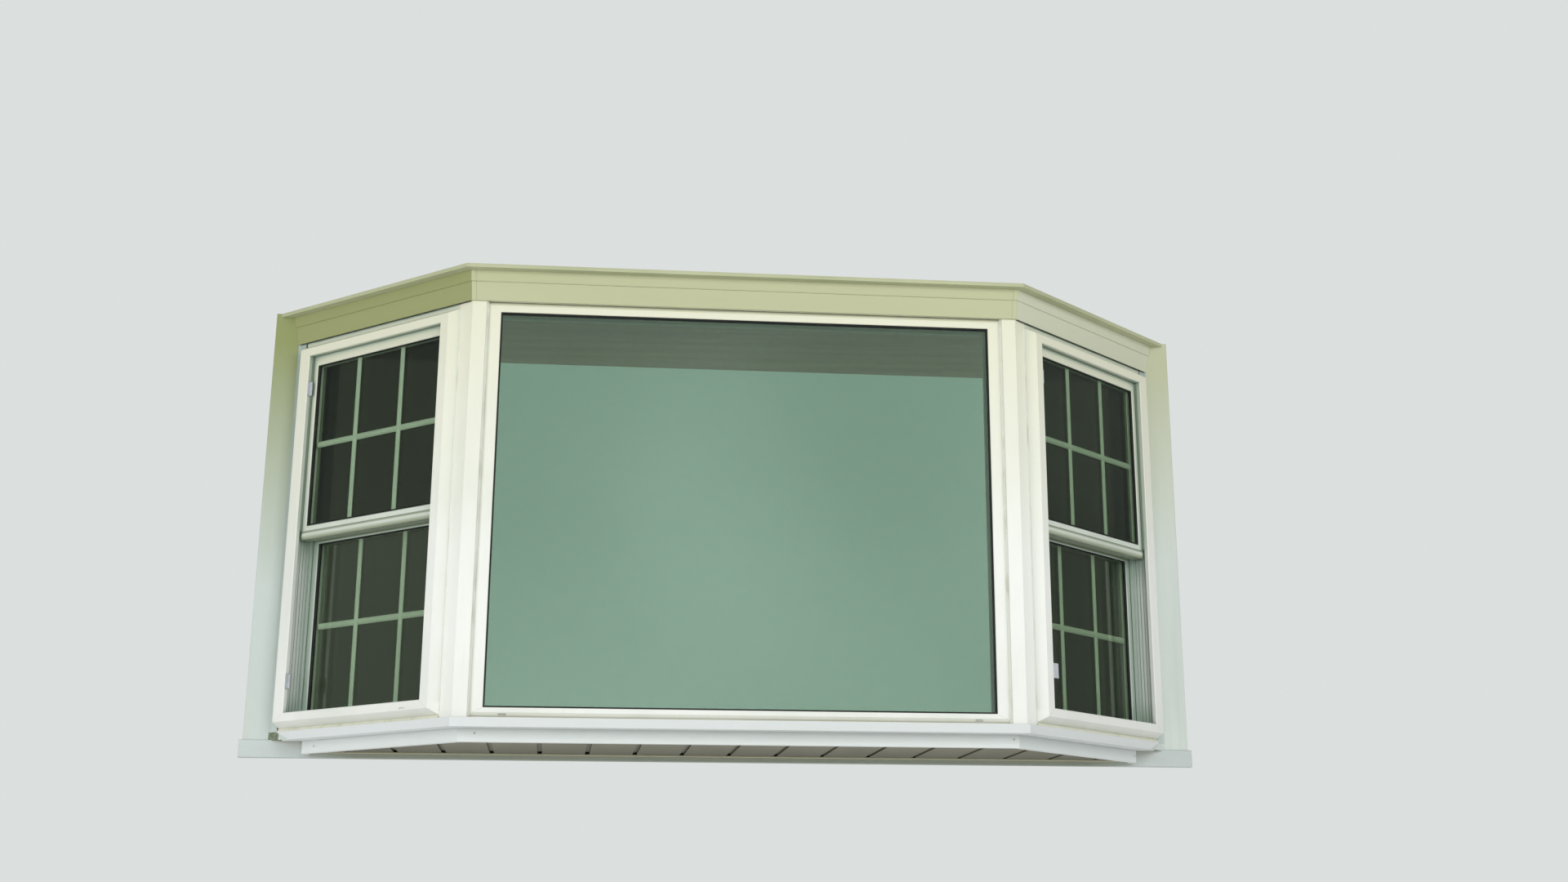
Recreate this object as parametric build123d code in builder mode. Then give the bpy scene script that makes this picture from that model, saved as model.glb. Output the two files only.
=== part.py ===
from build123d import *
from math import cos, radians, sin, tan
import os

os.makedirs("parts", exist_ok=True)

# Bay window: a fixed picture window in front and a double-hung window on each slanted side.
# Millimetres, +Z up, the front looks along -Y, the outer face of the wall is the plane Y = 0.
# The origin is the centre of the back face of the ledger board.

# Plan of the bay
bay_angle = 45.0            # turn of a side window from the wall plane
picture_half = 688.0        # half width of the picture window frame
side_width = 626.0          # width of a side window frame
corner_front = 37.0         # corner cover beside the picture window
corner_side = 46.0          # corner cover beside the side window
wall_side = 31.0            # post face between the side window and the casing
wall_return = 6.0           # from that face to the edge of the casing
wall_depth = 115.0          # boards run this far into the wall
board = 19.0                # side jamb and seat boards
joint_gap = 1.0             # saw joint between lengths of the same node

# Heights, from the ledger up
ledger_height = 46.0
ledger_thick = 26.0
ledger_past = 9.0           # ledger past the outer edge of each casing
ledger_chamfer = 1.5
casing_thick = 22.0
casing_width = 67.0
casing_chamfer = 1.5
window_height = 1077.0      # seat board to head board
head_thick = 32.0
blocking_height = 55.0
blocking_thick = 38.0

# Picture window
picture_depth = 83.0
picture_recess = 5.0        # its face behind the corner covers
picture_face = 38.0         # frame edge to glass at the sides
picture_face_low = 25.0     # the same at the bottom
picture_face_high = 30.0    # and at the top
picture_bevel = 13.0
picture_bevel_depth = 10.0
picture_edge = 1.5          # broken inner edge
picture_leg = 7.0           # glass behind the face
picture_pane = 4.0
picture_space = 16.0
picture_weep_in = 86.0      # weep slot from the frame's edge
picture_weep_up = 8.0
picture_weep_depth = 8.0

# Side windows, measured on their own plane; the plane of the corner covers is 0
side_depth = 82.0           # behind the plane
side_proud = 28.0           # face ahead of the plane
side_bevel = 15.0
side_bevel_wall = 7.0       # the same bevel on the frame's wall side
side_face = 31.0            # flat face beside the opening
side_face_end = 22.5        # flat face under and over the opening
side_edge = 2.0             # broken inner edge
contour_low = 8.0           # bevel foot above the seat board
contour_high = 16.0         # bevel foot below the head board
lip_thick = 12.0            # front lip of the frame
pocket_side = 10.0          # sash pocket past the opening, each side
pocket_down = 27.5          # below it
pocket_up = 4.5             # above it
stop_lap = 5.0              # room side stop inside the opening
stop_thick = 8.0
track_rib = 7.0
track_play = 2.0
track_groove = 2.0
track_groove_depth = 1.5
track_grooves = 3
track_first = 7.0           # first groove behind the sash face
track_pitch = 10.0
weep_length = 20.0
weep_height = 4.0
side_weep_in = 108.0
side_weep_up = 28.0
side_weep_depth = 3.0

# Sashes
sash_play = 3.0             # in the pocket, each side
sash_thick = 34.0
sash_stile = 24.0
sash_clear = 8.0            # sash behind the front lip
sash_edge = 3.0             # bevelled glazing leg
sash_overlap = 29.0         # the two sashes at the meeting rail
track_gap = 12.0            # between the planes of the two sashes
sash_top_rail = 32.0
sash_meet_rail = 38.0
sash_low_rail = 35.0
sash_check_rail = 35.0
bead_height = 21.0          # rounded moulding on the meeting rail
bead_proud = 4.0
bead_short = 4.0            # its ends clear of the frame's opening
rail_groove = 2.0
rail_groove_depth = 1.5
rail_grooves = 2
rail_groove_pitch = 12.0

# Glazing
pane_leg = 5.0
pane = 4.0
pane_space = 12.0
pane_bite = 9.0             # panes held in the frame by this much
pane_play = 1.0             # groove past the pane
spacer_width = 9.0
spacer_sight = 2.0          # spacer inside the edge of the frame
picture_gasket_width = 4.0
sash_gasket_width = 6.0
sash_gasket_thick = 4.0
picture_gasket_thick = 4.0
bar_width = 16.0
bar_thick = 8.0
bar_slope = 5.0             # sloped part of a bar, each side
bar_slope_depth = 3.0
bar_columns = 3
bar_inset = 15.5            # outer columns are narrower by this much

# Sash lock and screen clips
lock_length = 62.0
lock_width = 20.0
lock_height = 7.0
lever_length = 36.0
lever_width = 9.0
lever_height = 6.0
lever_out = 14.0
clip_height = 38.0
clip_thick = 2.5
clip_leg = 11.0             # leg on the frame's return
clip_reach = 8.0            # leg into the opening
clip_reach_turned = 24.0    # the same on the clip that is turned out
clip_up = 82.5              # above the foot of the opening
clip_up_turned = 97.0       # the same for the one that is turned out
clip_down = 93.5            # below its head

# Trim
cover_thick = 3.0
cap_proud = 12.0
cap_height = 23.0
cap_drop = 1.0              # cap below the top of the seat board
cap_end = 56.0              # the cap stops this far ahead of the wall
cap_cut = 54.0              # run of its sloping end
fascia_back = 35.0
fascia_thick = 18.0
fascia_height = 33.0
fascia_end = 60.0
panel_thick = 10.0
panel_rib = 127.0
rib_width = 12.0
rib_depth = 6.0
panel_rise = 7.0            # panel underside above the fascia's lower edge
trim_width = 25.0
trim_thick = 3.0
frieze_lap = 3.0            # frieze laps over the head board joint
frieze_low = 6.0
frieze_mid = 12.0
frieze_step = 2.0
frieze_top = 17.0
frieze_step_height = 50.0
channel_height = 10.0
channel_reach = 42.0
channel_skin = 2.5

# Worked out: the plan
su = sin(radians(bay_angle))
cu = cos(radians(bay_angle))
half_turn = tan(radians(bay_angle / 2))
ridge_x = picture_half + corner_front
side_length = corner_side + side_width + wall_side
front_reach = casing_thick + su * side_length
opening_half = ridge_x + cu * side_length + wall_return
ledger_length = 2 * (opening_half + casing_width + ledger_past)

# Worked out: levels
seat_low = ledger_height / 2
seat_top = seat_low + board
head_low = seat_top + window_height
head_top = head_low + head_thick
top = head_top + blocking_height
cap_top = seat_top - cap_drop
cap_low = cap_top - cap_height
fascia_low = cap_low - fascia_height
panel_low = fascia_low + panel_rise
frieze_bottom = head_low - frieze_lap
channel_low = top - channel_height


# Plan points: d runs along the slanted side, e outward from the plane of the corner covers
def side_point(d, e):
    return (ridge_x + cu * d + su * e, -front_reach + su * d - cu * e)


def corner(e):
    return (ridge_x + half_turn * e, -front_reach - e)


def meets_wall(e, ahead):
    d = (front_reach - ahead + cu * e) / su
    return side_point(d, e)


def flip(points):
    return [(-x, y) for x, y in reversed(points)]


def front_run(back, front):
    return [corner(back), corner(front), *flip([corner(back), corner(front)])]


def side_run(back, front, ahead):
    return [corner(back), corner(front), meets_wall(front, ahead), meets_wall(back, ahead)]


def wrap(back, front, ahead):
    outer = [corner(front), meets_wall(front, ahead)]
    inner = [corner(back), meets_wall(back, ahead)]
    return [*flip(outer), *outer, *reversed(inner), *reversed(flip(inner))]


# Planes of the windows: x along the window, y up from the seat board, z outward
side_plane = Plane(
    origin=(*side_point(corner_side + side_width / 2, 0), seat_top),
    x_dir=(cu, su, 0),
    z_dir=(su, -cu, 0),
)
front_plane = Plane(origin=(0, -front_reach, seat_top), x_dir=(1, 0, 0), z_dir=(0, -1, 0))
side_out = Axis(side_plane.origin, side_plane.z_dir)
upright = Plane(origin=side_plane.origin, x_dir=(cu, su, 0), z_dir=(0, 0, 1))
level = Plane(origin=side_plane.origin, x_dir=(0, 0, 1), z_dir=(cu, su, 0))
front_out = Axis(front_plane.origin, front_plane.z_dir)

plan = [corner(0), meets_wall(0, casing_thick), (opening_half, -casing_thick)]
plan += [(opening_half, wall_depth)]

# Ledger board on the wall; the bay hangs on it
with BuildPart() as ledger_board:
    with BuildSketch(Plane.XY.offset(-ledger_height / 2)):
        with Locations((0, -ledger_thick / 2)):
            Rectangle(ledger_length, ledger_thick)
    extrude(amount=ledger_height)
    front_edges = ledger_board.edges().filter_by(Axis.X).group_by(Axis.Y)[0]
    chamfer(front_edges, ledger_chamfer)
ledger_board.part.label = "ledger_board"
export_step(ledger_board.part, "parts/ledger_board.step")

# Seat board and head board
with BuildPart() as seat_board:
    with BuildSketch(Plane.XY.offset(seat_low)):
        with BuildLine():
            Polyline(*plan, *flip(plan), close=True)
        make_face()
    extrude(amount=board)
seat_board.part.label = "seat_board"
export_step(seat_board.part, "parts/seat_board.step")

with BuildPart() as head_board:
    with BuildSketch(Plane.XY.offset(head_low)):
        with BuildLine():
            Polyline(*plan, *flip(plan), close=True)
        make_face()
    extrude(amount=head_thick)
head_board.part.label = "head_board"
export_step(head_board.part, "parts/head_board.step")

# Side jamb boards through the wall
with BuildPart() as right_jamb_board:
    with BuildSketch(Plane.XY.offset(seat_top)):
        with Locations((opening_half - board / 2, wall_depth / 2)):
            Rectangle(board, wall_depth)
    extrude(amount=window_height)
right_jamb_board.part.label = "right_jamb_board"
export_step(right_jamb_board.part, "parts/right_jamb_board.step")

with BuildPart() as left_jamb_board:
    mirror(right_jamb_board.part, about=Plane.YZ)
left_jamb_board.part.label = "left_jamb_board"
export_step(left_jamb_board.part, "parts/left_jamb_board.step")

# Corner posts between the picture window and the side windows
picture_back = -front_reach + picture_recess + picture_depth
with BuildPart() as right_corner_post:
    with BuildSketch(Plane.XY.offset(seat_top)):
        with BuildLine():
            Polyline(
                (picture_half, -front_reach + cover_thick),
                corner(-cover_thick),
                side_point(corner_side, -cover_thick),
                side_point(corner_side, -side_depth),
                (picture_half, picture_back),
                close=True,
            )
        make_face()
    extrude(amount=window_height)
right_corner_post.part.label = "right_corner_post"
export_step(right_corner_post.part, "parts/right_corner_post.step")

with BuildPart() as left_corner_post:
    mirror(right_corner_post.part, about=Plane.YZ)
left_corner_post.part.label = "left_corner_post"
export_step(left_corner_post.part, "parts/left_corner_post.step")

# Corner covers, thin angles over the posts
with BuildPart() as right_corner_cover:
    with BuildSketch(Plane.XY.offset(seat_top)):
        with BuildLine():
            Polyline(
                (picture_half, -front_reach),
                corner(0),
                side_point(corner_side, 0),
                side_point(corner_side, -cover_thick),
                corner(-cover_thick),
                (picture_half, -front_reach + cover_thick),
                close=True,
            )
        make_face()
    extrude(amount=window_height)
right_corner_cover.part.label = "right_corner_cover"
export_step(right_corner_cover.part, "parts/right_corner_cover.step")

with BuildPart() as left_corner_cover:
    mirror(right_corner_cover.part, about=Plane.YZ)
left_corner_cover.part.label = "left_corner_cover"
export_step(left_corner_cover.part, "parts/left_corner_cover.step")

# Wall posts, wedges between the side windows and the jamb boards
side_end = corner_side + side_width
post_back = side_point(side_end, -side_depth)
with BuildPart() as right_wall_post:
    with BuildSketch(Plane.XY.offset(seat_top)):
        with BuildLine():
            Polyline(
                side_point(side_end, 0),
                meets_wall(0, casing_thick),
                (opening_half, -casing_thick),
                (opening_half, 0),
                (opening_half - board, 0),
                (opening_half - board, post_back[1]),
                post_back,
                close=True,
            )
        make_face()
    extrude(amount=window_height)
right_wall_post.part.label = "right_wall_post"
export_step(right_wall_post.part, "parts/right_wall_post.step")

with BuildPart() as left_wall_post:
    mirror(right_wall_post.part, about=Plane.YZ)
left_wall_post.part.label = "left_wall_post"
export_step(left_wall_post.part, "parts/left_wall_post.step")

# Picture window: one welded ring with a bevelled outer edge and a groove for the glazing unit
picture_glass_half = picture_half - picture_face
picture_glass_high = window_height - picture_face_low - picture_face_high
picture_unit = picture_pane * 2 + picture_space
picture_mid = picture_face_low + picture_glass_high / 2
picture_bite = pane_bite + pane_play
with BuildPart() as picture_frame:
    with BuildSketch(front_plane.offset(-picture_recess - picture_depth)):
        with Locations((0, window_height / 2)):
            Rectangle(picture_half * 2, window_height)
    extrude(amount=picture_depth)
    face_edges = picture_frame.faces().sort_by(Axis.Y)[0].edges()
    chamfer(face_edges, picture_bevel_depth, picture_bevel)
    with BuildSketch(front_plane.offset(-picture_recess - picture_depth)):
        with Locations((0, picture_mid)):
            Rectangle(picture_glass_half * 2, picture_glass_high)
    extrude(amount=picture_depth, mode=Mode.SUBTRACT)
    chamfer(picture_frame.edges(Select.LAST).group_by(front_out)[-1], picture_edge)
    with BuildSketch(front_plane.offset(-picture_recess - picture_leg)):
        with Locations((0, picture_mid)):
            Rectangle(
                (picture_glass_half + picture_bite) * 2, picture_glass_high + picture_bite * 2
            )
    extrude(amount=-picture_unit, mode=Mode.SUBTRACT)
    with BuildSketch(front_plane.offset(-picture_recess)):
        with Locations(
            (picture_weep_in - picture_half, picture_weep_up),
            (picture_half - picture_weep_in, picture_weep_up),
        ):
            SlotOverall(weep_length, weep_height)
    extrude(amount=-picture_weep_depth, mode=Mode.SUBTRACT)
picture_frame.part.label = "picture_frame"
export_step(picture_frame.part, "parts/picture_frame.step")

with BuildPart() as picture_panes:
    with BuildSketch(front_plane.offset(-picture_recess - picture_leg)):
        with Locations((0, picture_mid)):
            Rectangle((picture_glass_half + pane_bite) * 2, picture_glass_high + pane_bite * 2)
    extrude(amount=-picture_pane)
    with BuildSketch(front_plane.offset(-picture_recess - picture_leg - picture_unit)):
        with Locations((0, picture_mid)):
            Rectangle((picture_glass_half + pane_bite) * 2, picture_glass_high + pane_bite * 2)
    extrude(amount=picture_pane)
picture_panes.part.label = "picture_panes"
export_step(picture_panes.part, "parts/picture_panes.step")

with BuildPart() as picture_spacer:
    with BuildSketch(front_plane.offset(-picture_recess - picture_leg - picture_pane)):
        with Locations((0, picture_mid)):
            Rectangle(
                (picture_glass_half - spacer_sight + spacer_width) * 2,
                picture_glass_high + (spacer_width - spacer_sight) * 2,
            )
            Rectangle(
                (picture_glass_half - spacer_sight) * 2,
                picture_glass_high - spacer_sight * 2,
                mode=Mode.SUBTRACT,
            )
    extrude(amount=-picture_space)
picture_spacer.part.label = "picture_spacer"
export_step(picture_spacer.part, "parts/picture_spacer.step")

with BuildPart() as picture_gasket:
    with BuildSketch(front_plane.offset(-picture_recess - picture_leg)):
        with Locations((0, picture_mid)):
            Rectangle(picture_glass_half * 2, picture_glass_high)
            Rectangle(
                (picture_glass_half - picture_gasket_width) * 2,
                picture_glass_high - picture_gasket_width * 2,
                mode=Mode.SUBTRACT,
            )
    extrude(amount=picture_gasket_thick)
picture_gasket.part.label = "picture_gasket"
export_step(picture_gasket.part, "parts/picture_gasket.step")

# Side window frame: a body behind the plane, a bevelled contour ahead of it, two sash tracks
# and a stop towards the room
contour_height = window_height - contour_low - contour_high
contour_shift = (side_bevel - side_bevel_wall) / 2
side_open_half = side_width / 2 - side_bevel - side_face
side_open_low = contour_low + side_bevel + side_face_end
side_open_top = window_height - contour_high - side_bevel - side_face_end
side_open_mid = (side_open_low + side_open_top) / 2
side_open_height = side_open_top - side_open_low
pocket_half = side_open_half + pocket_side
pocket_low = side_open_low - pocket_down
pocket_high = side_open_top + pocket_up
pocket_mid = (pocket_low + pocket_high) / 2
pocket_height = pocket_high - pocket_low
pocket_front = side_proud - lip_thick
pocket_back = -side_depth + stop_thick
up_front = pocket_front - sash_clear
low_front = up_front - sash_thick - track_gap
with BuildPart() as right_frame:
    with BuildSketch(side_plane.offset(-side_depth)):
        with Locations((0, window_height / 2)):
            Rectangle(side_width, window_height)
    extrude(amount=side_depth)
    with BuildSketch(side_plane):
        with Locations((0, contour_low + contour_height / 2)):
            Rectangle(side_width, contour_height)
    with BuildSketch(side_plane.offset(side_proud)):
        with Locations((contour_shift, contour_low + contour_height / 2)):
            Rectangle(
                side_width - side_bevel - side_bevel_wall, contour_height - side_bevel * 2
            )
    loft(ruled=True)
    with BuildSketch(side_plane.offset(side_proud)):
        with Locations((0, side_open_mid)):
            Rectangle(side_open_half * 2, side_open_height)
    extrude(amount=-side_proud, mode=Mode.SUBTRACT)
    chamfer(right_frame.edges(Select.LAST).group_by(side_out)[-1], side_edge)
    with BuildSketch(side_plane.offset(pocket_front)):
        with Locations((0, pocket_mid)):
            Rectangle(pocket_half * 2, pocket_height)
    extrude(amount=pocket_back - pocket_front, mode=Mode.SUBTRACT)
    with BuildSketch(side_plane.offset(-side_depth)):
        with Locations((0, side_open_mid)):
            Rectangle((side_open_half - stop_lap) * 2, side_open_height)
    extrude(amount=stop_thick, mode=Mode.SUBTRACT)
    rib_at = pocket_half - track_rib / 2
    with BuildSketch(side_plane.offset(up_front - sash_thick - track_play)):
        with Locations((-rib_at, pocket_mid), (rib_at, pocket_mid)):
            Rectangle(track_rib, pocket_height)
    extrude(amount=-track_gap + track_play * 2)
    for sash_face in (up_front, low_front):
        for i in range(track_grooves):
            with BuildSketch(side_plane.offset(sash_face - track_first - i * track_pitch)):
                with Locations((-pocket_half, pocket_mid), (pocket_half, pocket_mid)):
                    Rectangle(track_groove_depth * 2, pocket_height)
            extrude(amount=-track_groove, mode=Mode.SUBTRACT)
right_frame.part.label = "right_frame"
export_step(right_frame.part, "parts/right_frame.step")

# The left frame alone has a drain slot in its face, near the corner
with BuildPart() as drain_slot:
    with BuildSketch(side_plane.offset(side_proud)):
        with Locations((side_weep_in - side_width / 2, side_weep_up)):
            SlotOverall(weep_length, weep_height)
    extrude(amount=-side_weep_depth)
with BuildPart() as left_frame:
    mirror(right_frame.part, about=Plane.YZ)
    mirror(drain_slot.part, about=Plane.YZ, mode=Mode.SUBTRACT)
left_frame.part.label = "left_frame"
export_step(left_frame.part, "parts/left_frame.step")

# Sashes: a welded ring each, with a groove for the glazing unit; the upper one carries the
# rounded moulding and sits in the outer track
sash_half = pocket_half - sash_play
sash_high = (pocket_height + sash_overlap) / 2
up_sash_bottom = pocket_high - sash_high
unit_thick = pane * 2 + pane_space
glass_half = sash_half - sash_stile
up_glass_high = sash_high - sash_meet_rail - sash_top_rail
low_glass_high = sash_high - sash_low_rail - sash_check_rail
up_glass_mid = up_sash_bottom + sash_meet_rail + up_glass_high / 2
low_glass_mid = pocket_low + sash_low_rail + low_glass_high / 2
groove_past = pane_bite + pane_play
bead_top = up_sash_bottom + bead_height
bead_middle = up_sash_bottom + bead_height / 2
with BuildPart() as right_upper_sash:
    with BuildSketch(side_plane.offset(up_front)):
        with Locations((0, up_sash_bottom + sash_high / 2)):
            Rectangle(sash_half * 2, sash_high)
    extrude(amount=-sash_thick)
    with BuildSketch(side_plane.offset(up_front)):
        with Locations((0, up_glass_mid)):
            Rectangle(glass_half * 2, up_glass_high)
    extrude(amount=-sash_thick, mode=Mode.SUBTRACT)
    chamfer(right_upper_sash.edges(Select.LAST).group_by(side_out)[-1], sash_edge)
    with BuildSketch(side_plane.offset(up_front - pane_leg)):
        with Locations((0, up_glass_mid)):
            Rectangle((glass_half + groove_past) * 2, up_glass_high + groove_past * 2)
    extrude(amount=-unit_thick, mode=Mode.SUBTRACT)
    with BuildSketch(level.offset(bead_short - side_open_half)):
        with BuildLine():
            bead_back = Line((up_sash_bottom, up_front), (bead_top, up_front))
            ThreePointArc(bead_back @ 1, (bead_middle, up_front + bead_proud), bead_back @ 0)
        make_face()
    extrude(amount=(side_open_half - bead_short) * 2)
    with BuildSketch(side_plane.offset(up_front)):
        with Locations((0, bead_top + rail_groove / 2)):
            Rectangle(side_open_half * 2, rail_groove)
    extrude(amount=-rail_groove_depth, mode=Mode.SUBTRACT)
    for i in range(rail_grooves):
        with BuildSketch(side_plane.offset(up_front - (i + 1) * rail_groove_pitch)):
            with Locations((0, up_sash_bottom)):
                Rectangle(side_open_half * 2, rail_groove_depth * 2)
        extrude(amount=rail_groove, mode=Mode.SUBTRACT)
right_upper_sash.part.label = "right_upper_sash"
export_step(right_upper_sash.part, "parts/right_upper_sash.step")

with BuildPart() as left_upper_sash:
    mirror(right_upper_sash.part, about=Plane.YZ)
left_upper_sash.part.label = "left_upper_sash"
export_step(left_upper_sash.part, "parts/left_upper_sash.step")

with BuildPart() as right_lower_sash:
    with BuildSketch(side_plane.offset(low_front)):
        with Locations((0, pocket_low + sash_high / 2)):
            Rectangle(sash_half * 2, sash_high)
    extrude(amount=-sash_thick)
    with BuildSketch(side_plane.offset(low_front)):
        with Locations((0, low_glass_mid)):
            Rectangle(glass_half * 2, low_glass_high)
    extrude(amount=-sash_thick, mode=Mode.SUBTRACT)
    chamfer(right_lower_sash.edges(Select.LAST).group_by(side_out)[-1], sash_edge)
    with BuildSketch(side_plane.offset(low_front - pane_leg)):
        with Locations((0, low_glass_mid)):
            Rectangle((glass_half + groove_past) * 2, low_glass_high + groove_past * 2)
    extrude(amount=-unit_thick, mode=Mode.SUBTRACT)
right_lower_sash.part.label = "right_lower_sash"
export_step(right_lower_sash.part, "parts/right_lower_sash.step")

with BuildPart() as left_lower_sash:
    mirror(right_lower_sash.part, about=Plane.YZ)
left_lower_sash.part.label = "left_lower_sash"
export_step(left_lower_sash.part, "parts/left_lower_sash.step")

# Panes, spacers and gaskets of the sashes
sash_glass = [
    (up_front - pane_leg, up_glass_mid, up_glass_high),
    (low_front - pane_leg, low_glass_mid, low_glass_high),
]
with BuildPart() as right_panes:
    for face, mid, high in sash_glass:
        with BuildSketch(side_plane.offset(face), side_plane.offset(face - pane - pane_space)):
            with Locations((0, mid)):
                Rectangle((glass_half + pane_bite) * 2, high + pane_bite * 2)
        extrude(amount=-pane)
right_panes.part.label = "right_panes"
export_step(right_panes.part, "parts/right_panes.step")

with BuildPart() as left_panes:
    mirror(right_panes.part, about=Plane.YZ)
left_panes.part.label = "left_panes"
export_step(left_panes.part, "parts/left_panes.step")

with BuildPart() as right_spacers:
    for face, mid, high in sash_glass:
        with BuildSketch(side_plane.offset(face - pane)):
            with Locations((0, mid)):
                Rectangle(
                    (glass_half - spacer_sight + spacer_width) * 2,
                    high + (spacer_width - spacer_sight) * 2,
                )
                Rectangle(
                    (glass_half - spacer_sight) * 2, high - spacer_sight * 2, mode=Mode.SUBTRACT
                )
        extrude(amount=-pane_space)
right_spacers.part.label = "right_spacers"
export_step(right_spacers.part, "parts/right_spacers.step")

with BuildPart() as left_spacers:
    mirror(right_spacers.part, about=Plane.YZ)
left_spacers.part.label = "left_spacers"
export_step(left_spacers.part, "parts/left_spacers.step")

with BuildPart() as right_gaskets:
    for face, mid, high in sash_glass:
        with BuildSketch(side_plane.offset(face)):
            with Locations((0, mid)):
                Rectangle(glass_half * 2, high)
                Rectangle(
                    (glass_half - sash_gasket_width) * 2,
                    high - sash_gasket_width * 2,
                    mode=Mode.SUBTRACT,
                )
        extrude(amount=sash_gasket_thick)
right_gaskets.part.label = "right_gaskets"
export_step(right_gaskets.part, "parts/right_gaskets.step")

with BuildPart() as left_gaskets:
    mirror(right_gaskets.part, about=Plane.YZ)
left_gaskets.part.label = "left_gaskets"
export_step(left_gaskets.part, "parts/left_gaskets.step")

# Bars between the panes: six-sided section, from spacer to spacer
bar_spacing = (glass_half + bar_inset) * 2 / bar_columns
bar_half = bar_width / 2
bar_core = bar_thick / 2 - bar_slope_depth
bar_side = [(bar_half, bar_core), (bar_half - bar_slope, bar_thick / 2)]
bar_side += [(bar_slope - bar_half, bar_thick / 2), (-bar_half, bar_core)]
bar_section = bar_side + [(-x, -y) for x, y in bar_side]
with BuildPart() as right_grilles:
    for face, mid, high in sash_glass:
        bar_at = face - pane - pane_space / 2
        bar_high = high - spacer_sight * 2
        bar_long = (glass_half - spacer_sight) * 2
        with BuildSketch(upright.offset(mid - bar_high / 2)):
            with Locations((0, -bar_at)):
                with GridLocations(bar_spacing, 1, bar_columns - 1, 1):
                    Polygon(*bar_section, align=None)
        extrude(amount=bar_high)
        with BuildSketch(level.offset(-bar_long / 2)):
            with Locations((mid, bar_at)):
                Polygon(*bar_section, align=None)
        extrude(amount=bar_long)
right_grilles.part.label = "right_grilles"
export_step(right_grilles.part, "parts/right_grilles.step")

with BuildPart() as left_grilles:
    mirror(right_grilles.part, about=Plane.YZ)
left_grilles.part.label = "left_grilles"
export_step(left_grilles.part, "parts/left_grilles.step")

# Sash lock on the check rail of the lower sash
lock_plane = Plane(
    origin=side_plane.offset(low_front - sash_thick / 2).origin
    + Vector(0, 0, pocket_low + sash_high),
    x_dir=(cu, su, 0),
    z_dir=(0, 0, 1),
)
with BuildPart() as right_sash_lock:
    with BuildSketch(lock_plane):
        SlotOverall(lock_length, lock_width)
    extrude(amount=lock_height)
    with BuildSketch(lock_plane.offset(lock_height)):
        Circle(lever_width)
        with Locations((lever_out, 0)):
            SlotOverall(lever_length, lever_width)
    extrude(amount=lever_height)
right_sash_lock.part.label = "right_sash_lock"
export_step(right_sash_lock.part, "parts/right_sash_lock.step")

with BuildPart() as left_sash_lock:
    mirror(right_sash_lock.part, about=Plane.YZ)
left_sash_lock.part.label = "left_sash_lock"
export_step(left_sash_lock.part, "parts/left_sash_lock.step")

# Screen clips: angles on the outer return, two on the left side of each side window
clip_low = side_open_low + clip_up
clip_turned = side_open_low + clip_up_turned
clip_high = side_open_top - clip_down
clip_front = pocket_front + clip_leg
with BuildPart() as right_screen_clips:
    for height, reach, face in (
        (clip_turned, clip_reach_turned, clip_front),
        (clip_high, clip_reach, pocket_front + clip_thick),
    ):
        with BuildSketch(upright.offset(height - clip_height / 2)):
            with Locations((-side_open_half, -clip_front)):
                Rectangle(clip_thick, clip_leg, align=(Align.MIN, Align.MIN))
            with Locations((-side_open_half, -face)):
                Rectangle(reach, clip_thick, align=(Align.MIN, Align.MIN))
        extrude(amount=clip_height)
right_screen_clips.part.label = "right_screen_clips"
export_step(right_screen_clips.part, "parts/right_screen_clips.step")

with BuildPart() as clips_wall_side:
    for height in (clip_low, clip_high):
        with BuildSketch(upright.offset(height - clip_height / 2)):
            with Locations((side_open_half, -clip_front)):
                Rectangle(clip_thick, clip_leg, align=(Align.MAX, Align.MIN))
            with Locations((side_open_half, -pocket_front - clip_thick)):
                Rectangle(clip_reach, clip_thick, align=(Align.MAX, Align.MIN))
        extrude(amount=clip_height)
with BuildPart() as left_screen_clips:
    mirror(clips_wall_side.part, about=Plane.YZ)
left_screen_clips.part.label = "left_screen_clips"
export_step(left_screen_clips.part, "parts/left_screen_clips.step")

# Frieze: each length leans out towards the top and has a small step
frieze_step_z = frieze_bottom + frieze_step_height
frieze_levels = [
    (frieze_bottom, frieze_low, frieze_step_z, frieze_mid),
    (frieze_step_z, frieze_mid + frieze_step, channel_low, frieze_top),
    (channel_low, frieze_top, top, frieze_top),
]
with BuildPart() as frieze_centre:
    for z0, e0, z1, e1 in frieze_levels:
        with BuildSketch(Plane.XY.offset(z0)):
            with BuildLine():
                Polyline(*front_run(0, e0), close=True)
            make_face()
        with BuildSketch(Plane.XY.offset(z1)):
            with BuildLine():
                Polyline(*front_run(0, e1), close=True)
            make_face()
        loft(ruled=True)
frieze_centre.part.label = "frieze_centre"
export_step(frieze_centre.part, "parts/frieze_centre.step")

with BuildPart() as frieze_right:
    for z0, e0, z1, e1 in frieze_levels:
        with BuildSketch(Plane.XY.offset(z0)):
            with BuildLine():
                Polyline(*side_run(0, e0, casing_thick), close=True)
            make_face()
        with BuildSketch(Plane.XY.offset(z1)):
            with BuildLine():
                Polyline(*side_run(0, e1, casing_thick), close=True)
            make_face()
        loft(ruled=True)
frieze_right.part.label = "frieze_right"
export_step(frieze_right.part, "parts/frieze_right.step")

with BuildPart() as frieze_left:
    mirror(frieze_right.part, about=Plane.YZ)
frieze_left.part.label = "frieze_left"
export_step(frieze_left.part, "parts/frieze_left.step")

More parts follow.
